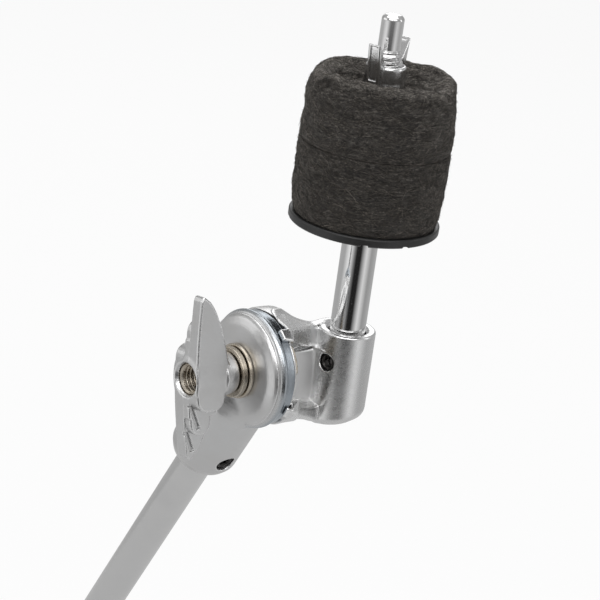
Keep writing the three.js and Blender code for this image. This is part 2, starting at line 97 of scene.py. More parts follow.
def make_mesh(name, points, faces, material, normals=None):
    """Makes an object from points (mm) and arrays of faces, one array per face size."""
    mesh = bpy.data.meshes.new(name)
    points = ((np.asarray(points, float).reshape(-1, 3) + TO_FRAME) * MM).astype(np.float32)
    faces = [np.asarray(group, np.int64) for group in faces]
    loops = np.concatenate([group.ravel() for group in faces]).astype(np.int32)
    sizes = np.concatenate([np.full(len(group), group.shape[1]) for group in faces])
    starts = np.concatenate([[0], np.cumsum(sizes)[:-1]]).astype(np.int32)
    mesh.vertices.add(len(points))
    mesh.vertices.foreach_set("co", points.ravel())
    mesh.loops.add(len(loops))
    mesh.loops.foreach_set("vertex_index", loops)
    mesh.polygons.add(len(sizes))
    mesh.polygons.foreach_set("loop_start", starts)
    mesh.update(calc_edges=True)
    mesh.polygons.foreach_set("use_smooth", np.ones(len(sizes), bool))
    mesh.materials.append(material)
    if normals is not None:
        mesh.normals_split_custom_set_from_vertices(np.asarray(normals, float).tolist())
    mesh.update()
    return add_object(name, mesh)


def add_attribute(ob, name, values):
    attribute = ob.data.attributes.new(name, "FLOAT", "POINT")
    attribute.data.foreach_set("value", values.astype(np.float32))


def assign(ob, body, slot, *replaced):
    """Tells the frame which body carries the piece and the CAD node it replaces. Slot is not
    used.
    """
    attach(ob, body)
    if replaced:
        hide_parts(*replaced)


def basis(axis):
    """Two directions u and v square to the axis, with u x v along it, and the unit axis."""
    axis = np.asarray(axis, float) / np.linalg.norm(axis)
    helper = Z_AXIS if abs(axis[2]) < 0.9 else X_AXIS
    u = np.cross(helper, axis)
    u /= np.linalg.norm(u)
    return u, np.cross(axis, u), axis


def signed_area(points):
    """Twice the area of a closed outline, negative if it runs clockwise."""
    after = np.roll(points, -1, 0)
    return float(np.sum(points[:, 0] * after[:, 1] - after[:, 0] * points[:, 1]))


def grid_quads(rows, columns, close_rows=False, close_columns=True, flip=False):
    """Quads over a grid of points stored row by row."""
    row, column = np.meshgrid(np.arange(rows if close_rows else rows - 1),
                              np.arange(columns if close_columns else columns - 1),
                              indexing="ij")
    next_row = (row + 1) % rows
    next_column = (column + 1) % columns
    quads = np.stack([row * columns + column, row * columns + next_column,
                      next_row * columns + next_column, next_row * columns + column],
                     -1).reshape(-1, 4)
    return quads[:, ::-1] if flip else quads


def round_corners(corners, closed, arc_steps=5):
    """Rounds a list of corners (a, b[, radius]) into rows (a, b, direction a, direction b)."""
    places = [np.array(corner[:2], float) for corner in corners]
    radii = [corner[2] if len(corner) > 2 else 0.15 for corner in corners]
    rows = []
    count = len(places)
    for i in range(count):
        place = places[i]
        if not closed and i in (0, count - 1):
            way = (places[1] - place) if i == 0 else (place - places[i - 1])
            way /= np.linalg.norm(way)
            rows.append([*place, *way])
            continue
        way_in = place - places[i - 1]
        way_out = places[(i + 1) % count] - place
        length_in, length_out = np.linalg.norm(way_in), np.linalg.norm(way_out)
        way_in, way_out = way_in / length_in, way_out / length_out
        cross = way_in[0] * way_out[1] - way_in[1] * way_out[0]
        turn = math.atan2(cross, float(np.clip(way_in @ way_out, -1, 1)))
        if abs(turn) < 1e-3:
            rows.append([*place, *way_in])
            continue
        # an arc may use up to 0.48 of either side
        setback = min(radii[i] * math.tan(abs(turn) / 2), 0.48 * length_in, 0.48 * length_out)
        radius = setback / math.tan(abs(turn) / 2)
        side = 1 if turn > 0 else -1
        centre = (place - way_in * setback) + side * radius * np.array([-way_in[1], way_in[0]])
        steps = max(2, int(math.ceil(arc_steps * abs(turn) / (math.pi / 2))))
        for k in range(steps + 1):
            angle = turn * k / steps
            way = np.array([way_in[0] * math.cos(angle) - way_in[1] * math.sin(angle),
                            way_in[0] * math.sin(angle) + way_in[1] * math.cos(angle)])
            rows.append([*(centre - side * radius * np.array([-way[1], way[0]])), *way])
    return np.array(rows)


class Shape:
    """Collects points, normals, quads and triangles of one piece."""

    def __init__(self):
        self.points, self.normals, self.quads, self.triangles = [], [], [], []
        self.count = 0

    def add(self, points, normals, quads=(), triangles=()):
        points = np.asarray(points, float).reshape(-1, 3)
        self.points.append(points)
        self.normals.append(np.asarray(normals, float).reshape(-1, 3))
        if len(quads):
            self.quads.append(np.asarray(quads, int) + self.count)
        if len(triangles):
            self.triangles.append(np.asarray(triangles, int) + self.count)
        self.count += len(points)

    def turn(self, corners, at, axis, closed=False, segments=128, arc=None, lift=0.0):
        """Turns a profile of (radius, height[, corner radius]) about an axis.

        An arc (start, end) in radians leaves the ring open, and lift makes it climb."""
        profile = round_corners(corners, closed)
        area = signed_area(profile[:, :2])
        normal_r, normal_h = profile[:, 3], -profile[:, 2]
        if area < 0:
            normal_r, normal_h = -normal_r, -normal_h
        u, v, axis = basis(axis)
        full = arc is None
        if full:
            angle = np.arange(segments) * 2 * math.pi / segments
        else:
            angle = np.linspace(arc[0], arc[1], segments)
        radius, height = profile[:, 0][:, None], profile[:, 1][:, None]
        height = height + (lift * (angle - angle[0]) / (angle[-1] - angle[0]))[None, :]
        radial = np.cos(angle)[None, :, None] * u + np.sin(angle)[None, :, None] * v
        points = np.asarray(at, float) + radius[..., None] * radial + height[..., None] * axis
        normals = normal_r[:, None, None] * radial + normal_h[:, None, None] * axis
        count = len(profile)
        self.add(points, normals, grid_quads(count, segments, closed, full, flip=area <= 0))
        if full:
            return
        for column, side in ((0, -1), (segments - 1, 1)):       # flat ends of the open ring
            ring = points[:, column]
            normal = np.cross(axis, radial[0, column]) * side
            k = np.arange(count)
            fan = np.stack([k, (k + 1) % count, np.full(count, count)], -1)
            if (side > 0) == (area > 0):
                fan = fan[:, ::-1]
            self.add(np.vstack([ring, ring.mean(0)]), np.tile(normal, (count + 1, 1)),
                     triangles=fan)

    def thread(self, start, end, root, at, axis, outward=True, segments=72, taper=1.0):
        """A right-hand thread from its root radius; outward=False lines a hole instead."""
        u, v, axis = basis(axis)
        steps = max(8, int((end - start) / 0.07))
        height, angle = np.meshgrid(np.linspace(start, end, steps + 1),
                                    np.arange(segments) * 2 * math.pi / segments,
                                    indexing="ij")

        def radius_at(height, angle):
            phase = (height / THREAD_PITCH - angle / (2 * math.pi)) % 1.0
            ridge = np.clip((1 - np.abs(phase * 2 - 1) - 0.12) / 0.76, 0, 1)
            ridge = ridge * ridge * (3 - 2 * ridge) * 0.35 + ridge * 0.65
            if outward:
                fade = np.clip((height - start) / taper, 0, 1)
                ridge = ridge * (fade * np.clip((end - height) / taper, 0, 1))
            return root + THREAD_DEPTH * ridge

        radius = radius_at(height, angle)
        nudge = 0.01
        slope_h = (radius_at(height + nudge, angle)
                   - radius_at(height - nudge, angle)) / (2 * nudge)
        slope_a = (radius_at(height, angle + nudge)
                   - radius_at(height, angle - nudge)) / (2 * nudge)
        radial = np.cos(angle)[..., None] * u + np.sin(angle)[..., None] * v
        tangent = -np.sin(angle)[..., None] * u + np.cos(angle)[..., None] * v
        points = np.asarray(at, float) + radius[..., None] * radial + height[..., None] * axis
        normals = radial - slope_h[..., None] * axis - (slope_a / radius)[..., None] * tangent
        normals /= np.linalg.norm(normals, axis=-1, keepdims=True)
        self.add(points, normals if outward else -normals,
                 grid_quads(steps + 1, segments, flip=not outward))

    def make(self, name, material):
        faces = [np.concatenate(group) for group in (self.quads, self.triangles) if group]
        return make_mesh(name, np.concatenate(self.points), faces, material,
                         np.concatenate(self.normals))


# -------------------------------------------------------- distance-field helpers
# A field is the signed distance to a body, negative inside. Blend widths are in mm.
def soft_min(a, b, width):
    """Joins two bodies with a fillet."""
    near = np.maximum(width - np.abs(a - b), 0) / width
    return np.minimum(a, b) - near * near * width * 0.25


def soft_max(a, b, width):
    """Keeps what two bodies share, with rounded edges."""
    return -soft_min(-a, -b, width)


def cut(body, tool, width):
    return soft_max(body, -tool, width)


def common(first, *others):
    """Keeps what several bodies share, with sharp edges."""
    for other in others:
        first = np.maximum(first, other)
    return first


def around(x, y, z, at, axis):
    """Radius from an axis and height along it."""
    px, py, pz = x - at[0], y - at[1], z - at[2]
    height = px * axis[0] + py * axis[1] + pz * axis[2]
    radius = np.sqrt(np.maximum(px * px + py * py + pz * pz - height * height, 0))
    return radius, height


class Outline:
    """Signed distance to a 2D outline, tabulated and read back with bilinear blending."""

    def __init__(self, points, step=0.11, pad=2.5, mirror=False):
        points = np.asarray(points, float)[:, :2]
        if mirror:                                # the outline starts and ends on the axis
            mirrored = points[::-1].copy()
            mirrored[:, 0] *= -1
            points = np.vstack([points, mirrored])
        self.low = points.min(0) - pad
        self.step = step
        self.size = np.ceil((points.max(0) + pad - self.low) / step).astype(int) + 1
        grid_u = (self.low[0] + step * np.arange(self.size[0]))[:, None]
        grid_v = (self.low[1] + step * np.arange(self.size[1]))[None, :]
        nearest = np.full(self.size, 1e9)
        inside = np.zeros(self.size, bool)
        for start, end in zip(points, np.roll(points, -1, 0)):
            edge = end - start
            square = edge @ edge
            if square < 1e-12:
                continue
            du, dv = grid_u - start[0], grid_v - start[1]
            t = np.clip((du * edge[0] + dv * edge[1]) / square, 0, 1)
            nearest = np.minimum(nearest, (du - t * edge[0]) ** 2 + (dv - t * edge[1]) ** 2)
            if start[1] != end[1]:
                crossing = (end[0] - start[0]) * (grid_v - start[1]) / (end[1] - start[1])
                inside ^= (((end[1] > grid_v) != (start[1] > grid_v))
                           & (grid_u < crossing + start[0]))
        distance = np.sqrt(nearest)
        self.distance = np.where(inside, -distance, distance).astype(np.float32)

    def __call__(self, u, v):
        u = (u - self.low[0]) / self.step
        v = (v - self.low[1]) / self.step
        near_u = np.clip(u, 0, self.size[0] - 1.001)
        near_v = np.clip(v, 0, self.size[1] - 1.001)
        i, j = near_u.astype(np.int32), near_v.astype(np.int32)
        a, b = near_u - i, near_v - j
        grid = self.distance
        value = ((grid[i, j] * (1 - a) + grid[i + 1, j] * a) * (1 - b)
                 + (grid[i, j + 1] * (1 - a) + grid[i + 1, j + 1] * a) * b)
        return value + np.hypot(u - near_u, v - near_v) * self.step


def flat_outline(corners, **options):
    """A closed outline of (a, b[, corner radius])."""
    return Outline(round_corners(corners, True), **options)


def turned_outline(corners, **options):
    """Half a section, (radius, height[, corner radius]), that starts and ends on the axis."""
    return Outline(round_corners(corners, False), mirror=True, **options)


def hexagon(corner_radius, turn=0, **options):
    angles = [math.radians(60 * i + turn) for i in range(6)]
    return Outline([[corner_radius * math.cos(a), corner_radius * math.sin(a)]
                    for a in angles], **options)


# a cell's corners, and the pairs of them that its edges join
CORNERS = np.array([[c >> 2 & 1, c >> 1 & 1, c & 1] for c in range(8)])
EDGES = [(0, 1), (2, 3), (4, 5), (6, 7), (0, 2), (1, 3), (4, 6), (5, 7),
         (0, 4), (1, 5), (2, 6), (3, 7)]


def cell_quads(inside, cell_index):
    """One quad round every grid edge that passes through the surface."""
    groups = []
    for axis in range(3):
        here = [slice(1, -1)] * 3
        there = [slice(1, -1)] * 3
        here[axis], there[axis] = slice(0, -1), slice(1, None)
        offset = np.ones(3, int)
        offset[axis] = 0
        edge = np.argwhere(inside[tuple(here)] != inside[tuple(there)]) + offset
        side_1, side_2 = (axis + 1) % 3, (axis + 2) % 3
        quads = []
        for back_1, back_2 in ((1, 1), (0, 1), (0, 0), (1, 0)):
            cell = edge.copy()
            cell[:, side_1] -= back_1
            cell[:, side_2] -= back_2
            quads.append(cell_index[tuple(cell.T)])
        quads = np.stack(quads, 1)
        outside = ~inside[tuple(edge.T)]
        quads[outside] = quads[outside][:, ::-1]
        groups.append(quads)
    quads = np.concatenate(groups)
    return quads[(quads >= 0).all(1)]


def mesh_field(field, low, high, step, normal_reach):
    """Meshes the zero level of a field. Returns points, quads, normals and edge sharpness."""
    low = np.asarray(low, float)
    size = [int(math.ceil((b - a) / step)) + 1 for a, b in zip(low, high)]
    axes = [low[i] + step * np.arange(size[i]) for i in range(3)]
    samples = np.empty(size, np.float32)
    for i in range(0, size[0], 32):               # in slabs, to save memory
        x, y, z = np.meshgrid(axes[0][i:i + 32], axes[1], axes[2], indexing="ij")
        samples[i:i + 32] = field(x.ravel(), y.ravel(), z.ravel()).reshape(x.shape)
    inside = samples < 0
    cells = [k - 1 for k in size]
    filled = np.zeros(cells, np.int8)
    for c in CORNERS:
        filled += inside[c[0]:c[0] + cells[0], c[1]:c[1] + cells[1], c[2]:c[2] + cells[2]]
    mixed = (filled > 0) & (filled < 8)
    cell = np.argwhere(mixed)
    cell_index = np.full(cells, -1, np.int64)
    cell_index[mixed] = np.arange(len(cell))
    quads = cell_quads(inside, cell_index)

    # each mixed cell gets a point at the mean of its edge crossings
    values = np.stack([samples[tuple((cell + c).T)] for c in CORNERS], 1)
    total, crossings = np.zeros((len(cell), 3)), np.zeros(len(cell))
    for a, b in EDGES:
        value_a, value_b = values[:, a], values[:, b]
        crossed = (value_a < 0) != (value_b < 0)
        t = np.where(crossed, value_a / np.where(crossed, value_a - value_b, 1), 0)
        crossing = CORNERS[a] + t[:, None] * (CORNERS[b] - CORNERS[a])
        total += np.where(crossed[:, None], crossing, 0)
        crossings += crossed
    points = low + step * (cell + total / crossings[:, None])

    def gradient(points, reach):
        slopes = np.empty_like(points)
        for a in range(3):
            offset = np.zeros(3)
            offset[a] = reach
            slopes[:, a] = (field(*(points + offset).T)
                            - field(*(points - offset).T)) / (2 * reach)
        return slopes

    def to_surface(points, rounds):
        for _ in range(rounds):
            slopes = gradient(points, 0.03)
            move = field(*points.T) / np.maximum((slopes * slopes).sum(1), 0.2)
            points = points - np.clip(move, -step / 2, step / 2)[:, None] * slopes
        return points

    points = to_surface(points, rounds=3)
    # even out the spacing along the surface, then return to it
    neighbours, count = np.zeros_like(points), np.zeros(len(points))
    for a, b in ((0, 1), (1, 2), (2, 3), (3, 0)):
        np.add.at(neighbours, quads[:, a], points[quads[:, b]])
        np.add.at(neighbours, quads[:, b], points[quads[:, a]])
        np.add.at(count, quads[:, a], 1)
        np.add.at(count, quads[:, b], 1)
    points = 0.6 * points + 0.4 * neighbours / np.maximum(count, 1)[:, None]
    points = to_surface(points, rounds=2)
    normals = gradient(points, normal_reach)
    normals /= np.maximum(np.linalg.norm(normals, axis=1, keepdims=True), 1e-9)

    # the field's curvature tells how sharp an outer edge is
    reach, curvature = 0.22, 0.0
    middle = field(*points.T)
    for a in range(3):
        offset = np.zeros(3)
        offset[a] = reach
        curvature = (curvature + field(*(points + offset).T)
                     + field(*(points - offset).T) - 2 * middle)
    sharpness = np.clip((curvature / (reach * reach) - 0.45) / 1.4, 0, 1)
    return points, quads, normals, sharpness


def field_object(name, field, low, high, step, material, normal_reach=0.06):
    points, quads, normals, sharpness = mesh_field(field, low, high, step, normal_reach)
    ob = make_mesh(name, points, [quads], material, normals)
    add_attribute(ob, "edge", sharpness)
    return ob


# ------------------------------------------------------------------- noise
NOISE_SIZE = 40
NOISE_GRID = (np.random.default_rng(11).random((NOISE_SIZE,) * 3).astype(np.float32)) * 2 - 1


def value_noise(place):
    """Smooth noise from -1 to 1 that repeats every NOISE_SIZE units."""
    cell = np.floor(place).astype(int)
    part = place - cell
    part = part * part * (3 - 2 * part)
    low, high = cell % NOISE_SIZE, (cell + 1) % NOISE_SIZE
    total = 0
    for corner in CORNERS:
        index = tuple((high if corner[a] else low)[..., a] for a in range(3))
        weight = 1.0
        for a in range(3):
            weight = weight * (part[..., a] if corner[a] else 1 - part[..., a])
        total = total + weight * NOISE_GRID[index]
    return total


# ------------------------------------------------------------- shader helpers
class Nodes:
    """Adds nodes to a tree. Inputs may be plain values or sockets to link from."""

    def __init__(self, tree):
        self.tree = tree

    def fill(self, node, inputs):
        for key, value in inputs.items():
            if isinstance(value, bpy.types.NodeSocket):
                self.tree.links.new(value, node.inputs[key])
            else:
                node.inputs[key].default_value = value

    def add(self, kind, inputs=None, **settings):
        node = self.tree.nodes.new(kind)
        for key, value in settings.items():
            setattr(node, key, value)
        self.fill(node, inputs or {})
        return node

    def place(self, stretch=(1, 1, 1)):
        """Object-space coordinates about the tilt pivot, in metres, times stretch."""
        source = self.add("ShaderNodeTexCoord").outputs["Object"]
        offset = [-TO_FRAME[i] * MM * stretch[i] for i in range(3)]
        return self.add("ShaderNodeMapping", {"Scale": stretch, "Location": offset,
                                              "Vector": source}).outputs["Vector"]

    def noise(self, vector, scale, detail=3.0, roughness=0.55):
        return self.add("ShaderNodeTexNoise", {"Scale": scale, "Detail": detail,
                                               "Roughness": roughness,
                                               "Vector": vector}).outputs["Fac"]

    def ramp(self, value, stops):
        """Maps a value to colour through stops of (position, colour)."""
        node = self.add("ShaderNodeValToRGB", {"Fac": value})
        elements = node.color_ramp.elements
        elements.remove(elements[-1])
        elements[0].position, elements[0].color = stops[0]
        for position, colour in stops[1:]:
            elements.new(position).color = colour
        return node.outputs["Color"]

    def remap(self, value, span, to=(0, 1)):
        return self.add("ShaderNodeMapRange",
                        {"From Min": span[0], "From Max": span[1], "To Min": to[0],
                         "To Max": to[1], "Value": value}).outputs["Result"]

    def maths(self, operation, *values):
        return self.add("ShaderNodeMath", dict(enumerate(values)),
                        operation=operation).outputs[0]

    def mix(self, factor, a, b):
        # sockets 6, 7 and output 2 are the colour ones
        return self.add("ShaderNodeMix", {0: factor, 6: a, 7: b}, data_type="RGBA").outputs[2]

    def mix_shaders(self, factor, a, b):
        return self.add("ShaderNodeMixShader", {0: factor, 1: a, 2: b}).outputs[0]

    def separate(self, vector):
        return self.add("ShaderNodeSeparateXYZ", {0: vector}).outputs

    def bump(self, *layers):
        """Stacks bump layers of (height, strength, distance in m)."""
        normal = None
        for height, strength, distance in layers:
            node = self.add("ShaderNodeBump", {"Strength": strength, "Distance": distance,
                                               "Height": height})
            if normal is not None:
                self.fill(node, {"Normal": normal})
            normal = node.outputs["Normal"]
        return normal


def new_material(name):
    material = bpy.data.materials.new(name)
    material.use_nodes = True
    tree = material.node_tree
    return material, Nodes(tree), tree.nodes["Principled BSDF"]


def grey(value, warmth=0.0):
    return (value * (1 + warmth), value, value * (1 - warmth), 1)


# ------------------------------------------------------------------- materials
def band_with_painted_reflection(nodes, place, colour, roughness):
    """A smoother ring round the pivot, beside the friction plane, with a painted dark reflection:
    its colour is turned a darker bluish grey.
    """
    x, y, z = nodes.separate(place)
    squares = nodes.maths("ADD", nodes.maths("POWER", y, 2.0), nodes.maths("POWER", z, 2.0))
    radius = nodes.maths("SQRT", squares)
    mask = nodes.maths("MULTIPLY", nodes.remap(x, span=(-0.0052, -0.0040)),
                       nodes.remap(radius, span=(0.0162, 0.0168), to=(1, 0)))
    mask = nodes.maths("MULTIPLY", mask, nodes.remap(radius, span=(0.0146, 0.0152)))
    # painted reflection: a darker bluish grey stands in for the dark surroundings the band
    # mirrors
    colour = nodes.mix(mask, colour, (0.36, 0.395, 0.43, 1))
    return colour, nodes.maths("SUBTRACT", roughness, nodes.maths("MULTIPLY", mask, 0.09))


def pocket_floor(nodes, place, colour, roughness):
    """The rough cast floor of the open pocket."""
    x, y, z = nodes.separate(place)
    mask = nodes.maths("MULTIPLY", nodes.remap(y, span=(0.0012, 0.0024)),
                       nodes.remap(y, span=(0.0029, 0.0033), to=(1, 0)))
    for socket, span in ((x, (0.0215, 0.0225)), (z, (0.0085, 0.0095))):
        mask = nodes.maths("MULTIPLY", mask, nodes.remap(socket, span=span, to=(1, 0)))
    colour = nodes.mix(mask, colour, grey(0.80))
    return colour, nodes.maths("ADD", roughness, nodes.maths("MULTIPLY", mask, 0.26))


def satin_chrome(name, base=0.62, roughness=(0.27, 0.37), grain=1.0, patch=None):
    """Satin metal, smoother where the "edge" attribute is high, with a painted highlight there: a
    brighter colour along sharp outer edges.
    """
    material, nodes, principled = new_material(name)
    place = nodes.place()
    broad = nodes.noise(place, scale=90, detail=3)
    medium = nodes.noise(place, scale=700, detail=4)
    fine = nodes.noise(place, scale=3600, detail=2)
    colour = nodes.ramp(broad, [(0.3, grey(base * 0.97, 0.006)),
                                (0.7, grey(base * 1.03, -0.004))])
    edge = nodes.add("ShaderNodeAttribute", attribute_name="edge").outputs["Fac"]
    edge = nodes.remap(edge, span=(0.15, 1.0))
    # painted highlight: sharp outer edges get a brighter colour
    colour = nodes.mix(edge, colour, grey(min(base * 1.18, 0.95)))
    rough = nodes.remap(medium, span=(0.25, 0.75), to=roughness)
    rough = nodes.maths("SUBTRACT", rough, nodes.maths("MULTIPLY", edge, 0.06))
    if patch:
        colour, rough = patch(nodes, place, colour, rough)
    normal = nodes.bump((medium, 0.12 * grain, 0.0004), (fine, 0.22 * grain, 0.00012))
    nodes.fill(principled, {"Base Color": colour, "Roughness": rough, "Metallic": 1.0,
                            "Normal": normal})
    return material


def polished_chrome(name, base, roughness):
    material, nodes, principled = new_material(name)
    broad = nodes.noise(nodes.place(), scale=60, detail=3)
    fine = nodes.noise(nodes.place(), scale=1400, detail=3)
    nodes.fill(principled, {
        "Base Color": nodes.ramp(broad, [(0.3, grey(base * 0.97)),
                                         (0.7, grey(base * 1.03, 0.003))]),
        "Roughness": nodes.remap(fine, span=(0.3, 0.7), to=roughness),
        "Metallic": 1.0,
        "Normal": nodes.bump((broad, 0.04, 0.0006), (fine, 0.05, 0.00006))})
    return material


def nickel(name):
    material, nodes, principled = new_material(name)
    place = nodes.place()
    broad = nodes.noise(place, scale=260, detail=4)
    fine = nodes.noise(place, scale=2400, detail=3)
    nodes.fill(principled, {
        "Base Color": nodes.ramp(broad, [(0.25, (0.40, 0.345, 0.275, 1)),
                                         (0.6, (0.52, 0.475, 0.405, 1)),
                                         (0.85, (0.60, 0.56, 0.50, 1))]),
        "Roughness": nodes.remap(fine, span=(0.3, 0.7), to=(0.20, 0.34)),
        "Metallic": 1.0,
        "Normal": nodes.bump((fine, 0.10, 0.00006))})
    return material


def black(name, base, roughness, metallic=0.0, warmth=0.0):
    material, nodes, principled = new_material(name)
    place = nodes.place()
    broad = nodes.noise(place, scale=240, detail=4)
    fine = nodes.noise(place, scale=2600, detail=3)
    nodes.fill(principled, {
        "Base Color": nodes.ramp(broad, [(0.3, grey(base, warmth)),
                                         (0.75, grey(base * 1.9, warmth))]),
        "Roughness": nodes.remap(fine, span=(0.3, 0.7), to=roughness),
        "Metallic": metallic,
        "Specular IOR Level": 0.45,
        "Normal": nodes.bump((fine, 0.2, 0.0001), (broad, 0.1, 0.0003))})
    return material


def felt(name):
    material, nodes, principled = new_material(name)
    along = nodes.place((1, 1, 3.6))              # fibres lie mostly round the felt
    patch = nodes.noise(nodes.place((1, 1, 2.0)), scale=170, detail=4, roughness=0.6)
    strand = nodes.noise(along, scale=620, detail=6, roughness=0.7)
    hair = nodes.noise(along, scale=1900, detail=4, roughness=0.65)
    cool = nodes.ramp(strand, [(0.34, (0.006, 0.006, 0.0065, 1)),
                               (0.48, (0.017, 0.0165, 0.0165, 1)),
                               (0.58, (0.060, 0.056, 0.052, 1)),
                               (0.70, (0.20, 0.185, 0.165, 1))])
    warm = nodes.ramp(hair, [(0.38, (0.007, 0.007, 0.007, 1)),
                             (0.50, (0.022, 0.020, 0.018, 1)),
                             (0.60, (0.085, 0.074, 0.062, 1)),
                             (0.72, (0.26, 0.235, 0.205, 1))])
    colour = nodes.mix(nodes.remap(patch, span=(0.35, 0.65), to=(0.30, 0.80)), cool, warm)
    # painted top light: upward faces get a lighter wool colour, as if lit from above
    normal = nodes.add("ShaderNodeNewGeometry").outputs["True Normal"]
    upward = nodes.remap(nodes.separate(normal)[2], span=(0.15, 0.75), to=(0.0, 0.55))
    painted_top_light = nodes.ramp(hair, [(0.36, (0.030, 0.028, 0.026, 1)),
                               (0.50, (0.10, 0.093, 0.085, 1)),
                               (0.66, (0.36, 0.335, 0.305, 1))])
    principled.inputs["Roughness"].default_value = 0.95
    nodes.fill(principled, {
        # the upward faces mix in the painted top light
        "Base Color": nodes.mix(upward, colour, painted_top_light),
        "Roughness": nodes.remap(hair, span=(0.3, 0.7), to=(0.85, 1.0)),
        "Specular IOR Level": 0.15,
        "Sheen Weight": 0.22,
        "Sheen Roughness": 0.45,
        "Sheen Tint": (0.75, 0.70, 0.64, 1),
        "Normal": nodes.bump((strand, 0.9, 0.0005), (hair, 0.7, 0.0002))})
    return material


def fibre(name):
    """Loose wool, each fibre shaded by its own "tint" attribute."""
    material, nodes, principled = new_material(name)
    tint = nodes.add("ShaderNodeAttribute", attribute_name="tint").outputs["Fac"]
    fine = nodes.noise(nodes.place((1, 1, 3)), scale=900, detail=3)
    shade = nodes.maths("MULTIPLY", tint, nodes.remap(fine, span=(0.3, 0.7), to=(0.7, 1.2)))
    nodes.fill(principled, {
        "Base Color": nodes.ramp(shade, [(0.0, (0.012, 0.012, 0.012, 1)),
                                         (0.5, (0.060, 0.052, 0.044, 1)),
                                         (1.0, (0.30, 0.27, 0.235, 1))]),
        "Roughness": 0.7,
        "Specular IOR Level": 0.25})
    return material


CASTING = satin_chrome("satin_casting", base=0.71, roughness=(0.24, 0.31), grain=0.45,
                       patch=pocket_floor)
# the tube holder's material, with the painted dark reflection on its band
CASTING_WITH_PAINTED_BAND = satin_chrome("satin_casting_painted_band", patch=band_with_painted_reflection)
WING = satin_chrome("satin_wing", base=0.60, grain=1.3)
TUBE = polished_chrome("chrome_tube", base=0.66, roughness=(0.17, 0.24))
ROD = polished_chrome("chrome_rod", base=0.70, roughness=(0.06, 0.12))
BRIGHT_NUT = satin_chrome("bright_nut", base=0.68, roughness=(0.14, 0.24), grain=0.8)
NICKEL = nickel("dull_nickel")
PLASTIC = black("seat_plastic", base=0.010, roughness=(0.30, 0.42))
LINING = black("lining_fibre", base=0.018, roughness=(0.75, 0.92))
STEEL = black("black_oxide", base=0.022, roughness=(0.30, 0.45), metallic=0.75, warmth=0.05)
FELT = felt("wool_felt")
FIBRE = fibre("wool_fibre")


# Profiles below are lists of (radius, height[, corner radius]) about the named axis.
# --------------------------------------------------------------- boom tube
def boom_tube():
    shape = Shape()
    shape.turn([(3.75, 17.4, .2), (5.25, 17.4, .45), (5.25, 250, .4), (3.75, 250, .25)],
               BOOM_START, BOOM_AXIS, closed=True, segments=144)
    assign(shape.make("boom_tube_chrome", TUBE), "boom", "chrome_tube", "boom_tube")


def tube_end_plug():
    shape = Shape()
    shape.turn([(0, 237), (3.0, 237, .4), (3.55, 239, .4), (3.4, 240.2, .3), (3.55, 241.4, .4),
                (3.4, 242.6, .3), (3.55, 243.8, .4), (3.55, 250.25, .2), (5.2, 250.25, .3),
                (5.2, 252.2, .5), (4.3, BOOM_END, .5), (2.2, BOOM_END, .2), (2.0, 252.7, .2),
                (0, 252.7)],
               BOOM_START, BOOM_AXIS, segments=96)
    assign(shape.make("tube_end_plug_moulded", PLASTIC), "boom", "black_plastic",
           "tube_end_plug")


# ------------------------------------------------- tube holder (casting on the -X side)
def tube_holder():
    dome_section = turned_outline([
        (0, 7.75), (8.8, 7.75, 2.0), (12.4, 7.4, 5.0), (14.7, 6.6, 2.2), (15.45, 5.75, .5),
        (15.0, 5.25, .25), (15.75, 4.85, .3), (16.3, 4.15, .7), (16.3, 3.6, .7),
        (15.85, 3.0, .8), (15.8, 1.6, 3), (15.7, .62, .25), (15.45, .36, .15), (0, .36)])
    barrel_section = turned_outline([
        (0, 7.6), (4.6, 7.6, 2.5), (8.2, 9.2, 3.5), (9.8, 12.8, 4.5), (9.8, 35.9, 2.6),
        (8.6, 38.5, 1.0), (0, 38.5)])

    def field(x, y, z):
        radius, height = around(x, y, z, PIVOT, NUT_AXIS)
        tube_radius, tube_height = around(x, y, z, BOOM_START, BOOM_AXIS)
        dome = dome_section(radius, height)
        barrel = barrel_section(tube_radius, tube_height)
        # the space beyond the friction plane, outside the disc
        swing = soft_max(radius - 16.05, -(x + 0.35), 0.5)
        barrel = soft_max(barrel, -swing, 0.4)
        # the barrel melts into the dome, but the rims beside the plane keep their lines
        melt = np.clip((-x - 0.6) / 4.0, 0.0, 1.0) * 2.6 + 0.5
        body = soft_min(dome, barrel, melt)
        body = cut(body, common(tube_radius - 5.45, 17.0 - tube_height), 0.45)   # tube bore
        body = cut(body, radius - 4.2, 0.3)                                      # bolt hole
        lining_groove = common(5.7 - radius, radius - 15.1, height - 1.6)
        body = cut(body, lining_groove, 0.12)
        screw_radius, screw_height = around(x, y, z, TUBE_SCREW_AT, BOOM_CROSS)
        return cut(body, common(screw_radius - 2.7, 3.0 - screw_height), 0.35)

    ob = field_object("tube_holder_casting", field, (-12.4, -17.3, -41.2), (9.2, 29.8, 17.3),
                      CASTING_STEP + 0.01, CASTING_WITH_PAINTED_BAND)
    assign(ob, "boom", "satin_chrome", "tube_holder")


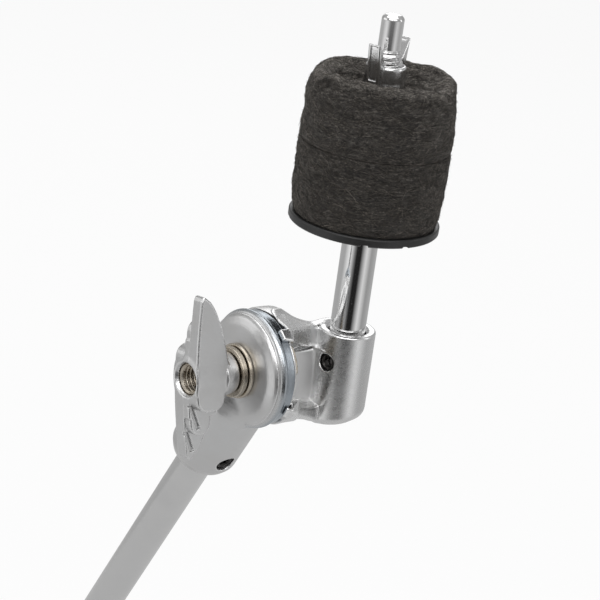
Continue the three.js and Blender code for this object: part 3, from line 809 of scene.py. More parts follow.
# ----------------------------------------------------------------- set screws
def set_screw(name, replaced, at, axis, inner, outer, radius, body):
    """A socket screw between two distances, inner and outer, along its axis."""
    u, v, axis = basis(axis)
    socket_section = hexagon(1.55, turn=8, step=0.03, pad=1.2)
    screw_section = turned_outline([
        (0, inner), (radius - 0.8, inner, .2), (radius, inner + 0.8, .2),
        (radius, outer - 0.35, .15), (radius - 0.35, outer, .12), (0, outer)],
        step=0.04, pad=1.0)

    def field(x, y, z):
        from_axis, height = around(x, y, z, at, axis)
        px, py, pz = x - at[0], y - at[1], z - at[2]
        socket = common(socket_section(px * u[0] + py * u[1] + pz * u[2],
                                       px * v[0] + py * v[1] + pz * v[2]),
                        (outer - 2.5) - height)
        chamfer = common(from_axis - (1.75 - (outer - height) * 0.8), outer - 0.4 - height)
        return cut(cut(screw_section(from_axis, height), socket, 0.08), chamfer, 0.08)

    ends = at + axis * inner, at + axis * outer
    margin = 0.3
    ob = field_object(name, field, np.minimum(*ends) - radius - margin,
                      np.maximum(*ends) + radius + margin, 0.11, STEEL, normal_reach=0.03)
    assign(ob, body, "black_steel", replaced)


# --------------------------------------------------------------- friction lining
def brake_lining():
    shape = Shape()
    shape.turn([(6.0, -0.2, .1), (14.8, -0.2, .15), (14.8, 1.3, .1), (6.0, 1.3, .1)],
               PIVOT, NUT_AXIS, closed=True, segments=144)
    assign(shape.make("brake_lining_ring", LINING), "boom", "lining", "brake_lining")


# -------------------------------------------------- rod holder (casting on the +X side)
# Its two flanges are lofts along X, each between four corner curves: upper front, lower
# front, lower back and upper back, with the front towards -Y. Stations are (x, y, z).
UPPER_FLANGE = [
    [(-2.9, -9.3, 15.0), (0.8, -9.2, 14.4), (3.8, -6.9, 12.8), (7.3, -5.0, 11.6),
     (12.7, -1.5, 10.1), (16.5, 1.1, 9.0), (20, 3.4, 7.8), (24, 5.6, 6.8)],
    [(-2.5, -12.0, 12.9), (0.6, -12.0, 11.9), (2.9, -8.8, 9.8), (5.4, -6.2, 8.0),
     (12.6, -1.8, 4.0), (20.0, 2.4, 1.8), (24, 4.4, 1.0)],
    [(-2.9, -9.7, 10.1), (0.8, -7.0, 9.4), (3.8, 3.2, 8.2), (7.3, 4.2, 7.0),
     (12.9, 5.0, 3.6), (19.3, 6.4, 1.6), (24, 7.5, 1.0)],
    [(-2.9, -7.1, 11.9), (0.3, -4.0, 15.0), (1.6, 0.0, 15.4), (3.8, 2.4, 15.3),
     (7.3, 3.2, 14.2), (12.7, 4.2, 10.9), (16.5, 5.2, 9.1), (20, 6.0, 7.7), (24, 7.2, 6.6)]]
LOWER_FLANGE = [
    [(-2.3, -16.4, -5.4), (0.8, -15.9, -6.6), (4.5, -12.2, -8.6), (9.1, -8.3, -10.8),
     (14.5, -5.2, -13.1), (20, -3, -14.5)],
    [(-1.9, -14.6, -8.9), (0.8, -14.5, -10.0), (4.5, -11.6, -11.8), (9.1, -7.6, -14.2),
     (14.5, -4.8, -16.8), (20, -3, -18.6)],
    [(-1.9, -12.0, -7.4), (0.8, -10.0, -10.4), (4.5, -6.0, -13.6), (9.1, -2.5, -15.4),
     (14.5, 0.0, -17.0), (20, 2, -18.6)],
    [(-2.3, -13.4, -4.5), (0.8, -12.6, -6.9), (4.5, -7.5, -10.2), (9.1, -3.0, -12.4),
     (14.5, 0.0, -13.8), (20, 2, -14.8)]]
CURVE_X = np.linspace(-4.0, 24.0, 561)


def smooth_curve(stations):
    """Samples y and z of a corner curve at CURVE_X and smooths them."""
    stations = np.array(stations, float)
    window = np.hanning(31)
    curve = []
    for column in (1, 2):
        values = np.interp(CURVE_X, stations[:, 0], stations[:, column])
        curve.append(np.convolve(np.pad(values, 15, mode="edge"), window / window.sum(),
                                 mode="valid"))
    return curve


def loft(curves, x, y, z, width):
    corners = [[np.interp(x, CURVE_X, values) for values in curve] for curve in curves]
    body = None
    for i in range(4):
        (start_y, start_z), (end_y, end_z) = corners[i], corners[(i + 1) % 4]
        edge_y, edge_z = end_y - start_y, end_z - start_z
        side = (((y - start_y) * edge_z - (z - start_z) * edge_y)
                / np.maximum(np.hypot(edge_y, edge_z), 1e-6))
        body = side if body is None else soft_max(body, side, width)
    return body


def rod_holder():
    # the link between disc and socket: its XZ and XY outlines, and its limit about the pivot
    link_side = flat_outline([
        (-4, 15.5), (3.5, 15.5, 4), (6.5, 15.0, 5), (9.0, 13.4, 6), (12.0, 11.5, 8),
        (15.0, 9.9, 8), (18.0, 8.65, 8), (21.0, 7.6, 5), (34, 7.3), (34, -18.2),
        (24.0, -20.2, 3), (21.5, -20.5, 4), (18.0, -18.9, 6), (15.0, -17.4, 8),
        (11.0, -15.9, 8), (8.0, -15.4, 6), (-4, -15.35)])
    link_plan = flat_outline([
        (-4, -17), (1.0, -16, 2), (3.0, -14.5, 4), (7.0, -10.0, 5), (9.1, -8.3, 5),
        (13.0, -6.0, 8), (17.0, -3.8, 8), (21.4, -1.5, 3), (34, -1.5), (34, 7.9),
        (14.0, 8.4, 8), (8.0, 10.5, 8), (3.0, 14.0, 5), (1.0, 15, 2), (-4, 15)])
    link_limit = turned_outline([
        (0, -4), (16.2, -4), (16.2, 0.9, .3), (16.0, 9.0, 6), (17.6, 14.0, 6),
        (20.5, 20.0, 6), (26, 30), (0, 30)])
    disc_section = turned_outline([
        (0, .35), (14.2, .35, .15), (14.45, .6, .15), (14.3, 1.1, .2), (8.8, 1.2, .3),
        (8.4, 3.1, .3), (0, 3.1)], step=0.08)
    # the open pocket: its section about the pivot and its XZ outline
    pocket_section = turned_outline([
        (0, 1.2), (13.0, 1.2, .8), (13.2, 12), (14.6, 20), (15.5, ROD_X), (0, ROD_X)])
    pocket_side = flat_outline([
        (1.2, 9.4), (5.2, 7.8, 4), (12.6, 3.8, 8), (21.6, 1.4, 4), (34, 1.2), (34, -34),
        (-6, -34), (-6, 9.4)])
    # XY outline of the slanted cut above the pocket
    slant_plan = flat_outline([
        (-9, -30), (-9, -2.6), (1.2, -2.6, 1.5), (4.0, 1.6, 4), (7.3, 2.6, 8),
        (12.6, 3.7, 8), (17.0, 4.8, 6), (24, 6.2), (34, 8.0), (34, -30)])
    socket_section = turned_outline([(0, -24), (8.0, -24), (8.0, 7.3, .75), (0, 7.3)])
    # XZ outline of what is cut away below the socket
    foot_side = flat_outline([
        (8, -24.6), (12, -24.0), (21, -21.4, 4), (24, -20.1, 6), (29.4, -18.6, 8),
        (34, -18.1, 6), (42, -17.2), (42, -34), (8, -34)])
    upper_curves = [smooth_curve(stations) for stations in UPPER_FLANGE]
    lower_curves = [smooth_curve(stations) for stations in LOWER_FLANGE]

    def field(x, y, z):
        radius, height = around(x, y, z, PIVOT, X_AXIS)
        rod_radius, rod_height = around(x, y, z, ROD_AT, Z_AXIS)
        angle = np.degrees(np.arctan2(-y, z))     # about X, from +Z towards -Y

        link = soft_max(link_side(x, z), link_plan(x, y), 2.2)
        link = soft_max(link, link_limit(radius, height), 1.6)
        link = cut(link, x - 0.8, 0.2)
        link = cut(link, soft_max(slant_plan(x, y), 1.0 - z, 1.0), 1.4)
        # opening between the flanges on the -Y side
        mouth = common(12.2 - radius, (np.abs(angle - 80.0) - 32.0) * math.pi / 180 * radius,
                       x - 9.0)
        link = cut(link, mouth, 0.8)
        pocket = soft_max(pocket_section(radius, height), pocket_side(x, z), 1.3)
        link = cut(link, soft_max(pocket, y - 2.8, 0.9), 0.9)

        upper = soft_max(loft(upper_curves, x, y, z, 0.7), common(-2.75 - x, x - 23.8), 0.5)
        upper = cut(upper, common(x - 0.15, (angle - 31.0) * math.pi / 180 * radius), 0.35)
        lower = soft_max(loft(lower_curves, x, y, z, 1.1), common(-2.05 - x, x - 18.0), 0.6)
        lower = soft_max(lower, x - 7.5, 2.5)
        socket = cut(socket_section(rod_radius, rod_height), foot_side(x, z), 2.6)

        body = soft_min(soft_min(link, upper, 1.2), lower, 1.5)
        # the socket's fillet shrinks away from the flanges
        from_flange = np.clip((np.minimum(upper, lower) - 1.0) / 7.0, 0.0, 1.0)
        body = soft_min(body, socket, 2.2 - 1.3 * from_flange)
        # nothing may reach into the space the other disc turns in
        body = cut(body, soft_max(radius - 16.02, x - 0.12, 0.25), 0.3)
        body = soft_min(body, disc_section(radius, height), 0.5)
        # recess round the bolt head, bolt hole, rod bore, countersink and set screw hole
        body = cut(body, common(radius - 7.8, 3.1 - height, height - 8.0), 0.5)
        body = cut(body, common(radius - 4.2, -1 - height, height - 5), 0.2)
        body = cut(body, common(rod_radius - 5.2, -15.8 - rod_height, rod_height - 12), 0.3)
        body = cut(body, common(rod_radius - 6.15 + (7.3 - rod_height), 6.0 - rod_height), 0.35)
        screw_radius, screw_height = around(x, y, z, ROD_SCREW_AT, ROD_SCREW_AXIS)
        return cut(body, common(screw_radius - 2.5, 3.0 - screw_height), 0.4)

    ob = field_object("rod_holder_casting", field, (-3.4, -17.0, -22.2), (38.2, 17.0, 17.6),
                      CASTING_STEP + 0.02, CASTING)
    assign(ob, "rod_arm", "satin_chrome", "rod_holder")


# ----------------------------------------------------------------- tilter bolt
def tilter_bolt():
    head_section = hexagon(7.4, step=0.06, pad=2)

    def head(x, y, z):
        radius, _ = around(x, y, z, PIVOT, X_AXIS)
        body = soft_max(head_section(y, z), common(3.3 - x, x - 7.7), 0.3)
        return soft_max(body, (radius - 7.05 + (x - 7.3) * 1.4) * 0.58, 0.3)   # chamfer

    points, quads, normals, _ = mesh_field(head, (2.9, -8.2, -8.2), (8.2, 8.2, 8.2),
                                           step=0.24, normal_reach=0.04)
    shape = Shape()
    shape.add(points, normals, quads)
    shape.turn([(0, -3.4), (3.85, -3.4, .2), (3.85, 7.6, .3), (3.3, 8.2, .1), (0, 8.2)],
               PIVOT, NUT_AXIS, segments=72)
    shape.thread(8.0, 17.5, 3.22, PIVOT, NUT_AXIS)
    shape.turn([(0, 17.2), (3.22, 17.2, .1), (3.0, 18.0, .3), (0, 18.0)],
               PIVOT, NUT_AXIS, segments=72)
    assign(shape.make("tilter_bolt_threaded", NICKEL), "rod_arm", "nickel", "tilter_bolt")


# -------------------------------------------------------------------- washers
def washers():
    shape = Shape()
    shape.turn([(4.3, 7.8, .12), (7.35, 7.8, .3), (7.55, 8.45, .35), (7.35, 9.1, .3),
                (4.3, 9.1, .12)], PIVOT, NUT_AXIS, closed=True)
    assign(shape.make("flat_washer_ring", NICKEL), "washers", "nickel", "flat_washer")
    shape = Shape()
    shape.turn([(4.35, 9.28, .15), (6.95, 9.28, .3), (6.95, 10.86, .3), (4.35, 10.86, .15)],
               PIVOT, NUT_AXIS, closed=True, arc=(math.radians(204), math.radians(554)),
               lift=0.2)
    assign(shape.make("spring_washer_split", NICKEL), "washers", "nickel", "spring_washer")


# ------------------------------------------------------------ tilter wing nut
# A step-sided nut: a middle plate and two taller plates, front (-Y) and back (+Y).
# Wing edge towards the washers: (distance along the wing, x)
WING_INNER = [(0, -13.9), (4, -14.2), (8.6, -15.2), (14.1, -16.7), (18.0, -18.3),
              (20.6, -19.7), (23, -21.2)]


def inner_x(along):
    return float(np.interp(abs(along), *zip(*WING_INNER)))


def outer_x(along):
    return -24.75 + 0.0029 * along * along


def round_end(along, side, depth=4.6):
    """The rounded tip of a wing, from its inner to its outer edge."""
    outer, inner = outer_x(along), inner_x(along)
    centre, half_width = (outer + inner) / 2, (inner - outer) / 2
    fullness = 0.80                               # a full U rather than an ellipse
    points = []
    for i in range(17):
        across, out = math.cos(math.pi * i / 16), math.sin(math.pi * i / 16)
        points.append((centre + half_width * math.copysign(abs(across) ** fullness, across),
                       along - side * (depth - depth * out ** fullness)))
    return points


def wing_outline(low, high, round_top):
    """Outline (x, distance along the wing) of a plate, its top round or nearly square."""
    if round_top:
        top = round_end(high, 1)
        top_limit = high - 4.8
    else:
        top = [(inner_x(high - 3.0), high - 3.0), (inner_x(high - 1.6) - 0.25, high - 1.6),
               (inner_x(high) - 0.55, high - 0.55), (inner_x(high) - 1.25, high - 0.1),
               (outer_x(high) + 0.9, high), (outer_x(high) + 0.25, high - 0.35),
               (outer_x(high - 1.2), high - 1.2)]
        top_limit = high - 3.3
    stations = np.arange(math.floor(high) - 0.5, math.ceil(low) + 0.4, -0.5)
    middle = [float(along) for along in stations if low + 4.8 < along < top_limit]
    return (top + [(outer_x(along), along) for along in middle]
            + round_end(low, -1)[::-1] + [(inner_x(along), along) for along in middle[::-1]])


def cylinder(x, y, z, radius, start, end, width):
    from_axis, height = around(x, y, z, PIVOT, NUT_AXIS)
    return soft_max(from_axis - radius, common(start - height, height - end), width)


# Slanted grooves on the -Y side of the lower wing:
# (x at the upper end, slope, depth across the wing, lower end, upper end along the wing)
WING_GROOVES = [(-23.9, 0.38, 0.45, -13.9, -7.2), (-23.55, 0.34, -1.9, -20.6, -15.0)]


def tilter_wing_nut():
    tall_plate = Outline(wing_outline(-8.7, 22.8, round_top=False), step=0.09)
    middle_plate = Outline(wing_outline(-15.7, 15.7, round_top=True), step=0.09)

    def tall(x, along, across, outside):
        plate = soft_max(tall_plate(x, along), common(-2.5 - across, across - outside), 0.75)
        # it stops near the middle of the nut, so the steps stay open
        return soft_max(plate, 1.15 - across, 0.3)

    def field(x, y, z):
        along = y * WING_ALONG[1] + z * WING_ALONG[2]
        across = y * WING_ACROSS[1] + z * WING_ACROSS[2]
        radius, height = around(x, y, z, PIVOT, NUT_AXIS)
        front = tall(x, along, across, 5.0)
        back = tall(x, -along, -across, 5.6)
        middle = soft_max(middle_plate(x, along), np.abs(across) - 1.25, 0.65)
        body = soft_min(soft_min(front, middle, 0.35), back, 0.35)
        for groove_x, slope, depth, low, high in WING_GROOVES:
            groove = common(np.abs(x - (groove_x + (high - along) * slope)) - 0.5,
                            depth - across, along - high, low - along)
            body = cut(body, groove, 0.4)
        # collar and hub, then the insert's bore, the through hole and its outer chamfer
        body = soft_min(body, cylinder(x, y, z, 5.8, 11.3, 15.0, 0.35), 0.4)
        body = soft_min(body, cylinder(x, y, z, 5.15, 13.5, 24.45, 1.2), 1.8)
        body = cut(body, common(radius - 4.78, height - 23.9), 0.1)
        body = cut(body, radius - 4.15, 0.15)
        return cut(body, common(radius - 4.15 - (height - 24.0) * 0.75, 23.8 - height), 0.35)

    ob = field_object("tilter_wing_nut_casting", field, (-26.0, -8.8, -25.0),
                      (-10.8, 8.8, 25.0), pick(0.24), WING, normal_reach=0.05)
    assign(ob, "tilter_nut", "satin_chrome", "tilter_wing_nut")


def nut_insert():
    shape = Shape()
    shape.thread(11.4, 23.5, 3.38, PIVOT, NUT_AXIS, outward=False, segments=96)
    shape.turn([(4.0, 11.4), (4.72, 11.4, .1), (4.72, 23.45, .1), (3.9, 23.9, .15),
                (3.38, 23.5)], PIVOT, NUT_AXIS, segments=96)
    assign(shape.make("nut_insert_threaded", NICKEL), "tilter_nut", "nickel", "nut_insert")


# ------------------------------------------------------------------ cymbal rod
def cymbal_rod():
    shape = Shape()
    shape.turn([(0, -15.5), (5.0, -15.5, .5), (5.0, 39.6, .3), (3.9, 39.6, .1),
                (3.9, 72.0, .2), (3.3, 72.6, .1), (0, 72.6)], ROD_AT, Z_AXIS, segments=144)
    shape.thread(72.2, 86.6, 3.28, ROD_AT, Z_AXIS, taper=0.9, segments=96)
    shape.turn([(0, 86.0), (3.28, 86.0, .05), (3.28, 86.7, .2), (3.05, 87.0, .15),
                (3.05, 95.5, 1.1), (2.0, 96.4, .9), (0, 96.4)], ROD_AT, Z_AXIS, segments=96)
    assign(shape.make("cymbal_rod_chrome", ROD), "rod_arm", "chrome_tube", "cymbal_rod")


# ------------------------------------------------------------------ seat flange
NOTCH_AZIMUTHS = (-129, -96, -30, 30, 84, 150)    # degrees
NOTCH_HALF_WIDTH = 1.05
NOTCH_INNER_RADIUS = 19.5
NOTCH_TOP = 38.67
NOTCH_WALL = 0.14                                 # width over which a notch's wall rises


def seat_flange():
    """A flat disc with a sleeve, and notches under its rim."""
    profile = round_corners([
        (5.3, 38.3, .1), (5.5, 38.07, .15), (20.35, 38.07, .25), (20.75, 38.5, .2),
        (20.75, 40.2, .3), (20.4, 40.47, .2), (5.4, 40.47, .4), (5.4, 73.5, .3),
        (5.1, 73.9, .2), (4.25, 73.9, .1), (4.25, 39.85, .1), (5.3, 39.85, .1)],
        True, arc_steps=4)[:, :2]
    # more rings across the rim, so the notches under it have clean walls
    rings = []
    for start, end in zip(profile, np.roll(profile, -1, 0)):
        rings.append(start)
        length = np.hypot(*(end - start))
        if start[0] > 17.5 and end[0] > 17.5 and length > 0.3:
            parts = int(length / 0.12)
            for k in range(1, parts):
                rings.append(start * (1 - k / parts) + end * (k / parts))
    rings = np.array(rings)
    segments = 720
    angle = np.arange(segments) * 2 * math.pi / segments
    radius, height = rings[:, 0][:, None] + 0 * angle, rings[:, 1][:, None] + 0 * angle
    notch = np.zeros_like(radius)
    for azimuth in NOTCH_AZIMUTHS:
        offset = (angle - math.radians(azimuth) + math.pi) % (2 * math.pi) - math.pi
        across = np.clip((NOTCH_HALF_WIDTH - np.abs(offset) * 20.7) / NOTCH_WALL, 0, 1)
        outward = np.clip((radius - NOTCH_INNER_RADIUS) / NOTCH_WALL, 0, 1)
        notch = np.maximum(notch, across[None, :] * outward)
    height = np.maximum(height, NOTCH_TOP * notch + height * (1 - notch))
    points = ROD_AT + np.stack([radius * np.cos(angle), radius * np.sin(angle), height], -1)
    ob = make_mesh("seat_flange_moulded", points,
                   [grid_quads(len(rings), segments, close_rows=True)], PLASTIC)
    assign(ob, "seat", "black_plastic", "seat_flange")


# ------------------------------------------------------------------------ felts
FELT_STEP = pick(0.36)
FELT_SEGMENTS = pick(360)
FIBRE_COUNT = pick(6800)
FIBRE_POINTS = 6                                  # along one fibre


def felt_profile(corners):
    """Evenly spaced profile points, their outward normals, and whether it runs clockwise."""
    profile = round_corners(corners, True, arc_steps=8)[:, :2]
    points = []
    for start, end in zip(profile, np.roll(profile, -1, 0)):
        parts = max(1, int(round(float(np.hypot(*(end - start))) / FELT_STEP)))
        points += [start + (end - start) * k / parts for k in range(parts)]
    points = np.array(points)
    along = np.roll(points, -1, 0) - np.roll(points, 1, 0)
    normals = np.stack([along[:, 1], -along[:, 0]], 1)
    normals /= np.linalg.norm(normals, axis=1, keepdims=True)
    clockwise = signed_area(points) < 0
    return points, -normals if clockwise else normals, clockwise


def felt_surface(profile, profile_normals, soft_top, seed):
    """Turns the profile and pushes it about with layered noise."""
    angle = np.arange(FELT_SEGMENTS) * 2 * math.pi / FELT_SEGMENTS
    radius, height = profile[:, 0][:, None] + 0 * angle, profile[:, 1][:, None] + 0 * angle
    radial = np.stack([np.cos(angle), np.sin(angle), 0 * angle], -1)[None]
    points = radius[..., None] * radial + height[..., None] * Z_AXIS
    normals = (profile_normals[:, 0][:, None, None] * radial
               + profile_normals[:, 1][:, None, None] * Z_AXIS)
    place = points * [1, 1, 1.7] + seed
    broad = value_noise(place / 7.0) * 0.30 + value_noise(place / 3.1 + 9) * 0.20
    fine = (value_noise(place / 1.35 + 3) * 0.16
            + value_noise(points * [1, 1, 2.6] / 0.75 + 5) * 0.10)
    push = broad + fine
    # the bore and hidden faces stay nearly plain, so nothing touches its neighbour
    shown = 1 - np.clip(-normals[..., 2] * 1.6, 0, 1) * (1 if soft_top else 0.9)
    if soft_top:
        waves = value_noise(points / 5.0 + 40) * 0.75 + value_noise(points / 2.4 + 60) * 0.42
        push = push + waves * np.clip((points[..., 2] - 73.0) / 6.0, 0, 1)
    else:
        shown = shown * (1 - np.clip(normals[..., 2] * 1.6, 0, 1) * 0.9)
    push = push * (np.clip((radius - 8.0) / 4.0, 0, 1) * shown)
    points = points + normals * push[..., None]
    if soft_top:                                  # the crest rises and dips round the rim
        crest = np.clip((points[..., 2] - 72.5) / 8.5, 0, 1) ** 1.5
        turn = angle[None, :]
        rise = (0.55 * np.sin(turn * 2 + 0.6) + 0.4 * np.sin(turn * 3 + 2.1)
                + 0.3 * np.sin(turn * 5 + 4.0))
        points[..., 2] += crest * (rise - 1.35)
        points[..., 2] = np.maximum(points[..., 2], FELT_JOINT + 0.02)
    else:
        points[..., 2] = np.clip(points[..., 2], 40.5, FELT_JOINT - 0.02)
    from_axis = np.hypot(points[..., 0], points[..., 1])
    points[..., :2] *= (np.maximum(from_axis, 5.6) / from_axis)[..., None]   # clears the sleeve
    return points, normals


def felt_fibres(profile, profile_normals, points, normals, soft_top, seed):
    """Loose wool laid on the visible faces. Returns points, quads and a tint per point."""
    rng = np.random.default_rng(int(seed * 100) + 5)
    count, rows, segments = FIBRE_COUNT, len(profile), FELT_SEGMENTS
    visible = np.where((profile[:, 0] > 9.0)
                       & ((profile_normals[:, 0] > 0.25)
                          | (soft_top & (profile_normals[:, 1] > 0.15))))[0]
    weights = profile[visible, 0] / profile[visible, 0].sum()
    row = rng.choice(visible, count, p=weights).astype(float) + rng.random(count)
    column = rng.random(count) * segments
    length = rng.gamma(3.0, 1.15, count) + 0.8
    heading = rng.normal(0, 0.55, count)
    heading = heading + (rng.random(count) < 0.12) * rng.normal(0, 1.2, count)
    curl = rng.normal(0, 0.26, count)
    lift = np.abs(rng.normal(0, 0.11, count)) + 0.015
    loose = rng.random(count) < 0.10
    lift[loose] += rng.random(loose.sum()) * 0.45
    radius = rng.uniform(0.016, 0.034, count)
    tint = np.clip(rng.beta(1.3, 2.6, count) + (rng.random(count) < 0.06) * 0.5, 0, 1)
    free = rng.random(count) < 0.22               # these end in the air

    # walk each fibre over the felt's grid of rows and columns
    heading = (heading[:, None]
               + curl[:, None] * np.linspace(-0.5, 0.5, FIBRE_POINTS) * length[:, None])

    def travel(component):
        steps = component * (length[:, None] / (FIBRE_POINTS - 1))
        return np.cumsum(steps, 1) - steps[:, :1]

    ring_radius = np.maximum(profile[np.clip(row.astype(int), 0, rows - 1), 0], 4)[:, None]
    column = column[:, None] + travel(np.cos(heading)) / (ring_radius * 2 * math.pi / segments)
    row = np.clip(row[:, None] + travel(np.sin(heading)) / FELT_STEP,
                  visible.min() + 0.01, visible.max() - 0.01)
    row_0, column_0 = np.floor(row).astype(int), np.floor(column).astype(int)
    a, b = (row - row_0)[..., None], (column - column_0)[..., None]
    row_0, column_0 = row_0 % rows, column_0 % segments
    row_1, column_1 = (row_0 + 1) % rows, (column_0 + 1) % segments

    def blend(grid):
        return ((grid[row_0, column_0] * (1 - a) + grid[row_1, column_0] * a) * (1 - b)
                + (grid[row_0, column_1] * (1 - a) + grid[row_1, column_1] * a) * b)

    line, normal = blend(points), blend(normals)
    normal = normal / np.linalg.norm(normal, axis=-1, keepdims=True)
    arched = np.sin(np.linspace(0.12, 0.94, FIBRE_POINTS) * math.pi) * 1.5 - 0.55
    rising = np.linspace(-0.3, 1.35, FIBRE_POINTS)
    line = line + normal * (np.where(free[:, None], rising, arched) * lift[:, None])[..., None]

    # a tapering three-sided tube round each line
    tangent = np.gradient(line, axis=1)
    tangent /= np.maximum(np.linalg.norm(tangent, axis=-1, keepdims=True), 1e-6)
    side = np.cross(tangent, normal)
    side /= np.maximum(np.linalg.norm(side, axis=-1, keepdims=True), 1e-6)
    up = np.cross(side, tangent)
    taper = np.array([0.35, 0.8, 1, 1, 0.8, 0.35])[None, :, None]
    thickness = radius[:, None, None] * taper
    corners = []
    for k in range(3):
        angle = 2 * math.pi * k / 3 + math.pi / 2
        corners.append(line + (side * math.cos(angle) + up * math.sin(angle)) * thickness)
    tubes = np.stack(corners, 2).reshape(-1, 3)
    if soft_top:
        tubes[:, 2] = np.maximum(tubes[:, 2], FELT_JOINT + 0.04)
    else:
        tubes[:, 2] = np.minimum(tubes[:, 2], FELT_JOINT - 0.04)
    one_tube = grid_quads(FIBRE_POINTS, 3)
    first = (np.arange(count) * FIBRE_POINTS * 3)[:, None, None]
    return tubes, (first + one_tube).reshape(-1, 4), np.repeat(tint, FIBRE_POINTS * 3)


def felt_ring(name, corners, soft_top, seed, body, replaced):
    profile, profile_normals, clockwise = felt_profile(corners)
    points, normals = felt_surface(profile, profile_normals, soft_top, seed)
    quads = grid_quads(len(profile), FELT_SEGMENTS, close_rows=True, flip=clockwise)
    assign(make_mesh(name, points + ROD_AT, [quads], FELT), body, "felt", replaced)

    points, quads, tint = felt_fibres(profile, profile_normals, points, normals, soft_top, seed)
    fibres = make_mesh(name + "_fibres", points + ROD_AT, [quads], FIBRE)
    add_attribute(fibres, "tint", tint)
    assign(fibres, body, "felt")


LOWER_FELT = [
    (5.75, 40.62, .1), (19.6, 40.62, .6), (20.15, 43.0, 5), (20.45, 48, 10), (20.7, 54, 10),
    (20.6, 59.5, 4.0), (20.45, 61.1, .35), (5.75, 61.1, .1)]
UPPER_FELT = [
    (5.75, 61.3, .1), (20.4, 61.3, .35), (20.6, 62.8, 3.0), (20.6, 66.5, 10),
    (20.2, 71.5, 10), (19.6, 77.5, 8), (18.9, 81.1, 2.2), (16.9, 82.0, 1.6),
    (14.6, 79.8, 2.5), (11.6, 75.8, 3.0), (9.2, 74.9, 1.5), (5.75, 74.8, .3)]


# ------------------------------------------------------------- cymbal wing nut
def cymbal_wing_nut():
    hub_section = turned_outline([
        (0, 75.1), (6.3, 75.1, .2), (6.6, 75.6, .3), (6.6, 76.2, .3), (5.8, 77.2, 1.2),
        (5.5, 78.7, 2.0), (5.4, 83.0, .7), (0, 83.0)], step=0.06)
    # one ear: (distance out from the rod's axis, z)
    ear_outline = flat_outline([
        (2.5, 76.8), (6.2, 76.8, 1), (7.1, 78.2, 2), (8.5, 89.3, 1.0), (7.9, 90.5, .8),
        (5.0, 91.5, .7), (4.4, 90.6, .8), (4.45, 84.8, 1), (4.9, 82.6, .6), (2.5, 82.0)],
        step=0.06)
    ear_turn = math.radians(21)
    cos_turn, sin_turn = math.cos(ear_turn), math.sin(ear_turn)

    def field(x, y, z):
        radius, height = around(x, y, z, ROD_AT, Z_AXIS)
        out = np.abs((x - ROD_X) * cos_turn + y * sin_turn)
        across = np.abs((x - ROD_X) * sin_turn + y * -cos_turn)
        ear = soft_max(ear_outline(out, z), across - 1.95, 0.75)
        slot = common(across - 1.0, 6.65 + (z - 78.2) * 0.126 - out, np.abs(z - 84.0) - 4.6)
        ear = cut(ear, slot, 0.3)                 # hollow along the ear's outer edge
        body = soft_min(hub_section(radius, height), ear, 0.7)
        body = cut(body, radius - 4.15, 0.3)
        return cut(body, common(radius - 4.15 - (height - 82.3) * 0.6, 82.0 - height), 0.2)

    ob = field_object("cymbal_wing_nut_casting", field, (ROD_X - 10.6, -9.8, 74.6),
                      (ROD_X + 10.6, 9.8, 91.6), pick(0.2), BRIGHT_NUT,
                      normal_reach=0.04)
    assign(ob, "cymbal_nut", "satin_chrome", "cymbal_wing_nut")


# ------------------------------------------------------- stage and lights (metres)
PIVOT_IN_FRAME = Vector(TO_FRAME * MM)
LIGHT_TARGET = Vector((0.01, 0.0, 0.02))          # from the pivot, as are the light places
# name, place, width, height, radiance
SOFTBOXES = [
    ("key_softbox", (-0.85, -0.45, 0.80), 0.8, 0.8, 2.2),
    ("top_softbox", (0.05, 0.15, 1.10), 1.2, 1.0, 1.5),
    ("side_softbox", (-0.9, 0.75, 0.25), 1.0, 0.8, 0.8),
    ("back_softbox", (0.75, 0.9, 0.62), 0.9, 0.6, 1.4),
    ("right_strip", (0.95, -0.75, 0.35), 0.35, 0.9, 1.0),
    ("front_softbox", (-0.22, -0.80, 0.66), 0.6, 0.5, 2.4)]


def floor():
    material, nodes, principled = new_material("pale_floor")
    broad = nodes.noise(nodes.place(), scale=3.0, detail=2)
    nodes.fill(principled, {
        "Base Color": nodes.ramp(broad, [(0.2, grey(0.80)), (0.8, grey(0.83))]),
        "Roughness": 0.9,
        "Specular IOR Level": 0.1})
    # the camera sees it almost evenly white, with only a little shadow
    glow = nodes.add("ShaderNodeEmission", {"Color": grey(0.985)}).outputs[0]
    seen = nodes.add("ShaderNodeLightPath").outputs["Is Camera Ray"]
    surface = nodes.mix_shaders(nodes.maths("MULTIPLY", seen, 0.92), principled.outputs[0], glow)
    nodes.fill(nodes.tree.nodes["Material Output"], {"Surface": surface})
    level, reach = CAD_LO[2] - 0.0005, 4
    mesh = bpy.data.meshes.new("floor")
    mesh.from_pydata([(-reach, -reach, level), (reach, -reach, level), (reach, reach, level),
                      (-reach, reach, level)], [], [(0, 1, 2, 3)])
    mesh.materials.append(material)
    add_object("floor", mesh)


def softbox(name, place, width, height, radiance):
    light = bpy.data.lights.new(name, "AREA")
    light.shape, light.size, light.size_y = "RECTANGLE", width, height
    light.energy = radiance * math.pi * width * height
    ob = add_object(name, light)
    ob.location = Vector(place) + PIVOT_IN_FRAME
    ob.rotation_mode = "QUATERNION"
    ob.rotation_quaternion = (LIGHT_TARGET - Vector(place)).to_track_quat("-Z", "Y")
    ob.visible_camera = False


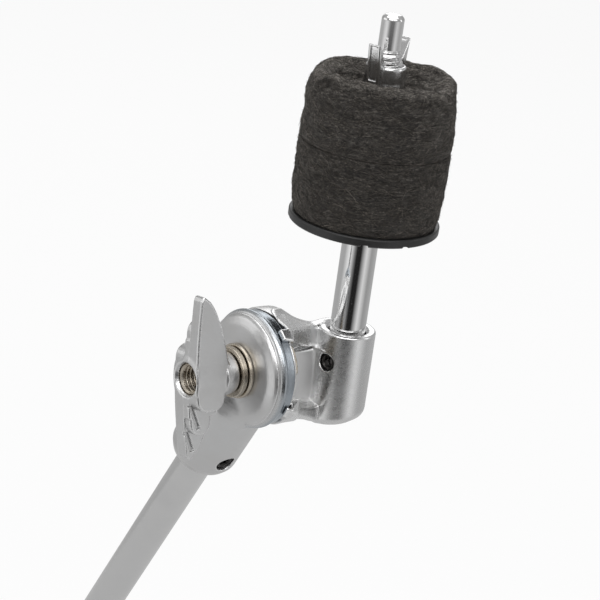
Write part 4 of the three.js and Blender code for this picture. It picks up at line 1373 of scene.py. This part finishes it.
def paper(name, radius, low, high, stops, flat=False):
    """Glowing paper that only reflections see: a wrap round the object, or a flat disc.

    Stops are (azimuth in degrees, brightness). The wrap fades out below its upper edge."""
    count = 120
    ring = [Vector((math.cos(math.tau * i / count), math.sin(math.tau * i / count), 0)) * radius
            for i in range(count)]
    points = [point + Vector((0, 0, z)) for z in ((low,) if flat else (low, high))
              for point in ring]
    if flat:
        faces = [tuple(range(count))]
    else:
        faces = [(i, (i + 1) % count, count + (i + 1) % count, count + i)
                 for i in range(count)]
    mesh = bpy.data.meshes.new(name)
    mesh.from_pydata(points, [], faces)
    material, nodes, _ = new_material(name + "_paper")
    nodes.tree.nodes.clear()
    place = nodes.add("ShaderNodeTexCoord").outputs["Object"]
    azimuth = nodes.add("ShaderNodeTexGradient", {"Vector": place},
                        gradient_type="RADIAL").outputs["Fac"]
    colour = nodes.ramp(azimuth, [((degrees + 180.0) / 360.0, grey(brightness))
                                  for degrees, brightness in stops])
    glow = nodes.add("ShaderNodeEmission", {"Color": colour}).outputs[0]
    clear = nodes.add("ShaderNodeBsdfTransparent").outputs[0]
    fade = nodes.remap(nodes.separate(place)[2], span=(high - 0.09, high))
    nodes.add("ShaderNodeOutputMaterial", {0: nodes.mix_shaders(fade, glow, clear)})
    mesh.materials.append(material)
    ob = add_object(name, mesh)
    ob.location = PIVOT_IN_FRAME
    ob.visible_camera = ob.visible_diffuse = False
    ob.visible_shadow = ob.visible_transmission = False


def studio_world():
    """Soft grey for the metal to reflect, and plain white behind for the camera."""
    world = bpy.data.worlds.new("studio")
    bpy.context.scene.world = world
    world.use_nodes = True
    nodes = Nodes(world.node_tree)
    direction = nodes.add("ShaderNodeTexCoord").outputs["Generated"]
    upward = nodes.remap(nodes.separate(direction)[2], span=(-0.3, 1.0))
    sky = nodes.ramp(upward, [(0.0, grey(0.50)), (0.23, grey(0.46)), (0.45, grey(0.40)),
                              (1.0, grey(0.60))])
    seen = nodes.add("ShaderNodeLightPath").outputs["Is Camera Ray"]
    nodes.fill(nodes.tree.nodes["Background"], {
        "Color": nodes.mix(seen, sky, (1.0, 1.0, 1.0, 1)), "Strength": 1.0})


def camera():
    data = bpy.data.cameras.new("camera")
    data.lens, data.sensor_width = 118.587, 36.0
    data.clip_start, data.clip_end = 0.02, 50.0
    ob = add_object("camera", data)
    # columns are the camera's right, up and backward directions
    pose = Matrix(((0.78188002, 0.12091267, -0.61159117),
                   (-0.61010674, 0.3501243, -0.71076208),
                   (0.12819278, 0.92886657, 0.34752483))).to_4x4()
    pose.translation = Vector((-0.316681, -0.380420, 0.203926)) + PIVOT_IN_FRAME
    ob.matrix_world = pose
    bpy.context.scene.camera = ob


# ----------------------------------------------------------------------- build
boom_tube()
tube_end_plug()
tube_holder()
set_screw("tube_set_screw_socket", "tube_set_screw", TUBE_SCREW_AT, BOOM_CROSS,
          inner=5.35, outer=8.9, radius=2.5, body="boom")
set_screw("rod_set_screw_socket", "rod_set_screw", ROD_SCREW_AT, ROD_SCREW_AXIS,
          inner=5.1, outer=7.2, radius=2.3, body="rod_arm")
brake_lining()
rod_holder()
tilter_bolt()
washers()
tilter_wing_nut()
nut_insert()
cymbal_rod()
seat_flange()
felt_ring("lower_felt_wool", LOWER_FELT, soft_top=False, seed=3.3, body="seat",
          replaced="lower_felt")
felt_ring("upper_felt_wool", UPPER_FELT, soft_top=True, seed=8.1, body="top_felt",
          replaced="upper_felt")
cymbal_wing_nut()

floor()
for box in SOFTBOXES:
    softbox(*box)
paper("paper_wrap", radius=0.42, low=-0.225, high=0.06,
      stops=[(-180, 1.0), (-155, 0.25), (-140, 0.02), (-112, 0.02), (-75, 0.9), (-40, 0.4),
             (0, 0.5), (130, 0.5), (165, 1.0), (180, 1.0)])
paper("paper_base", radius=0.415, low=-0.2222, high=0.06,
      stops=[(-180, 0.6), (0, 0.6), (180, 0.6)], flat=True)
studio_world()
camera()
bpy.context.scene.view_settings.view_transform = "Standard"

bpy.context.view_layer.update()
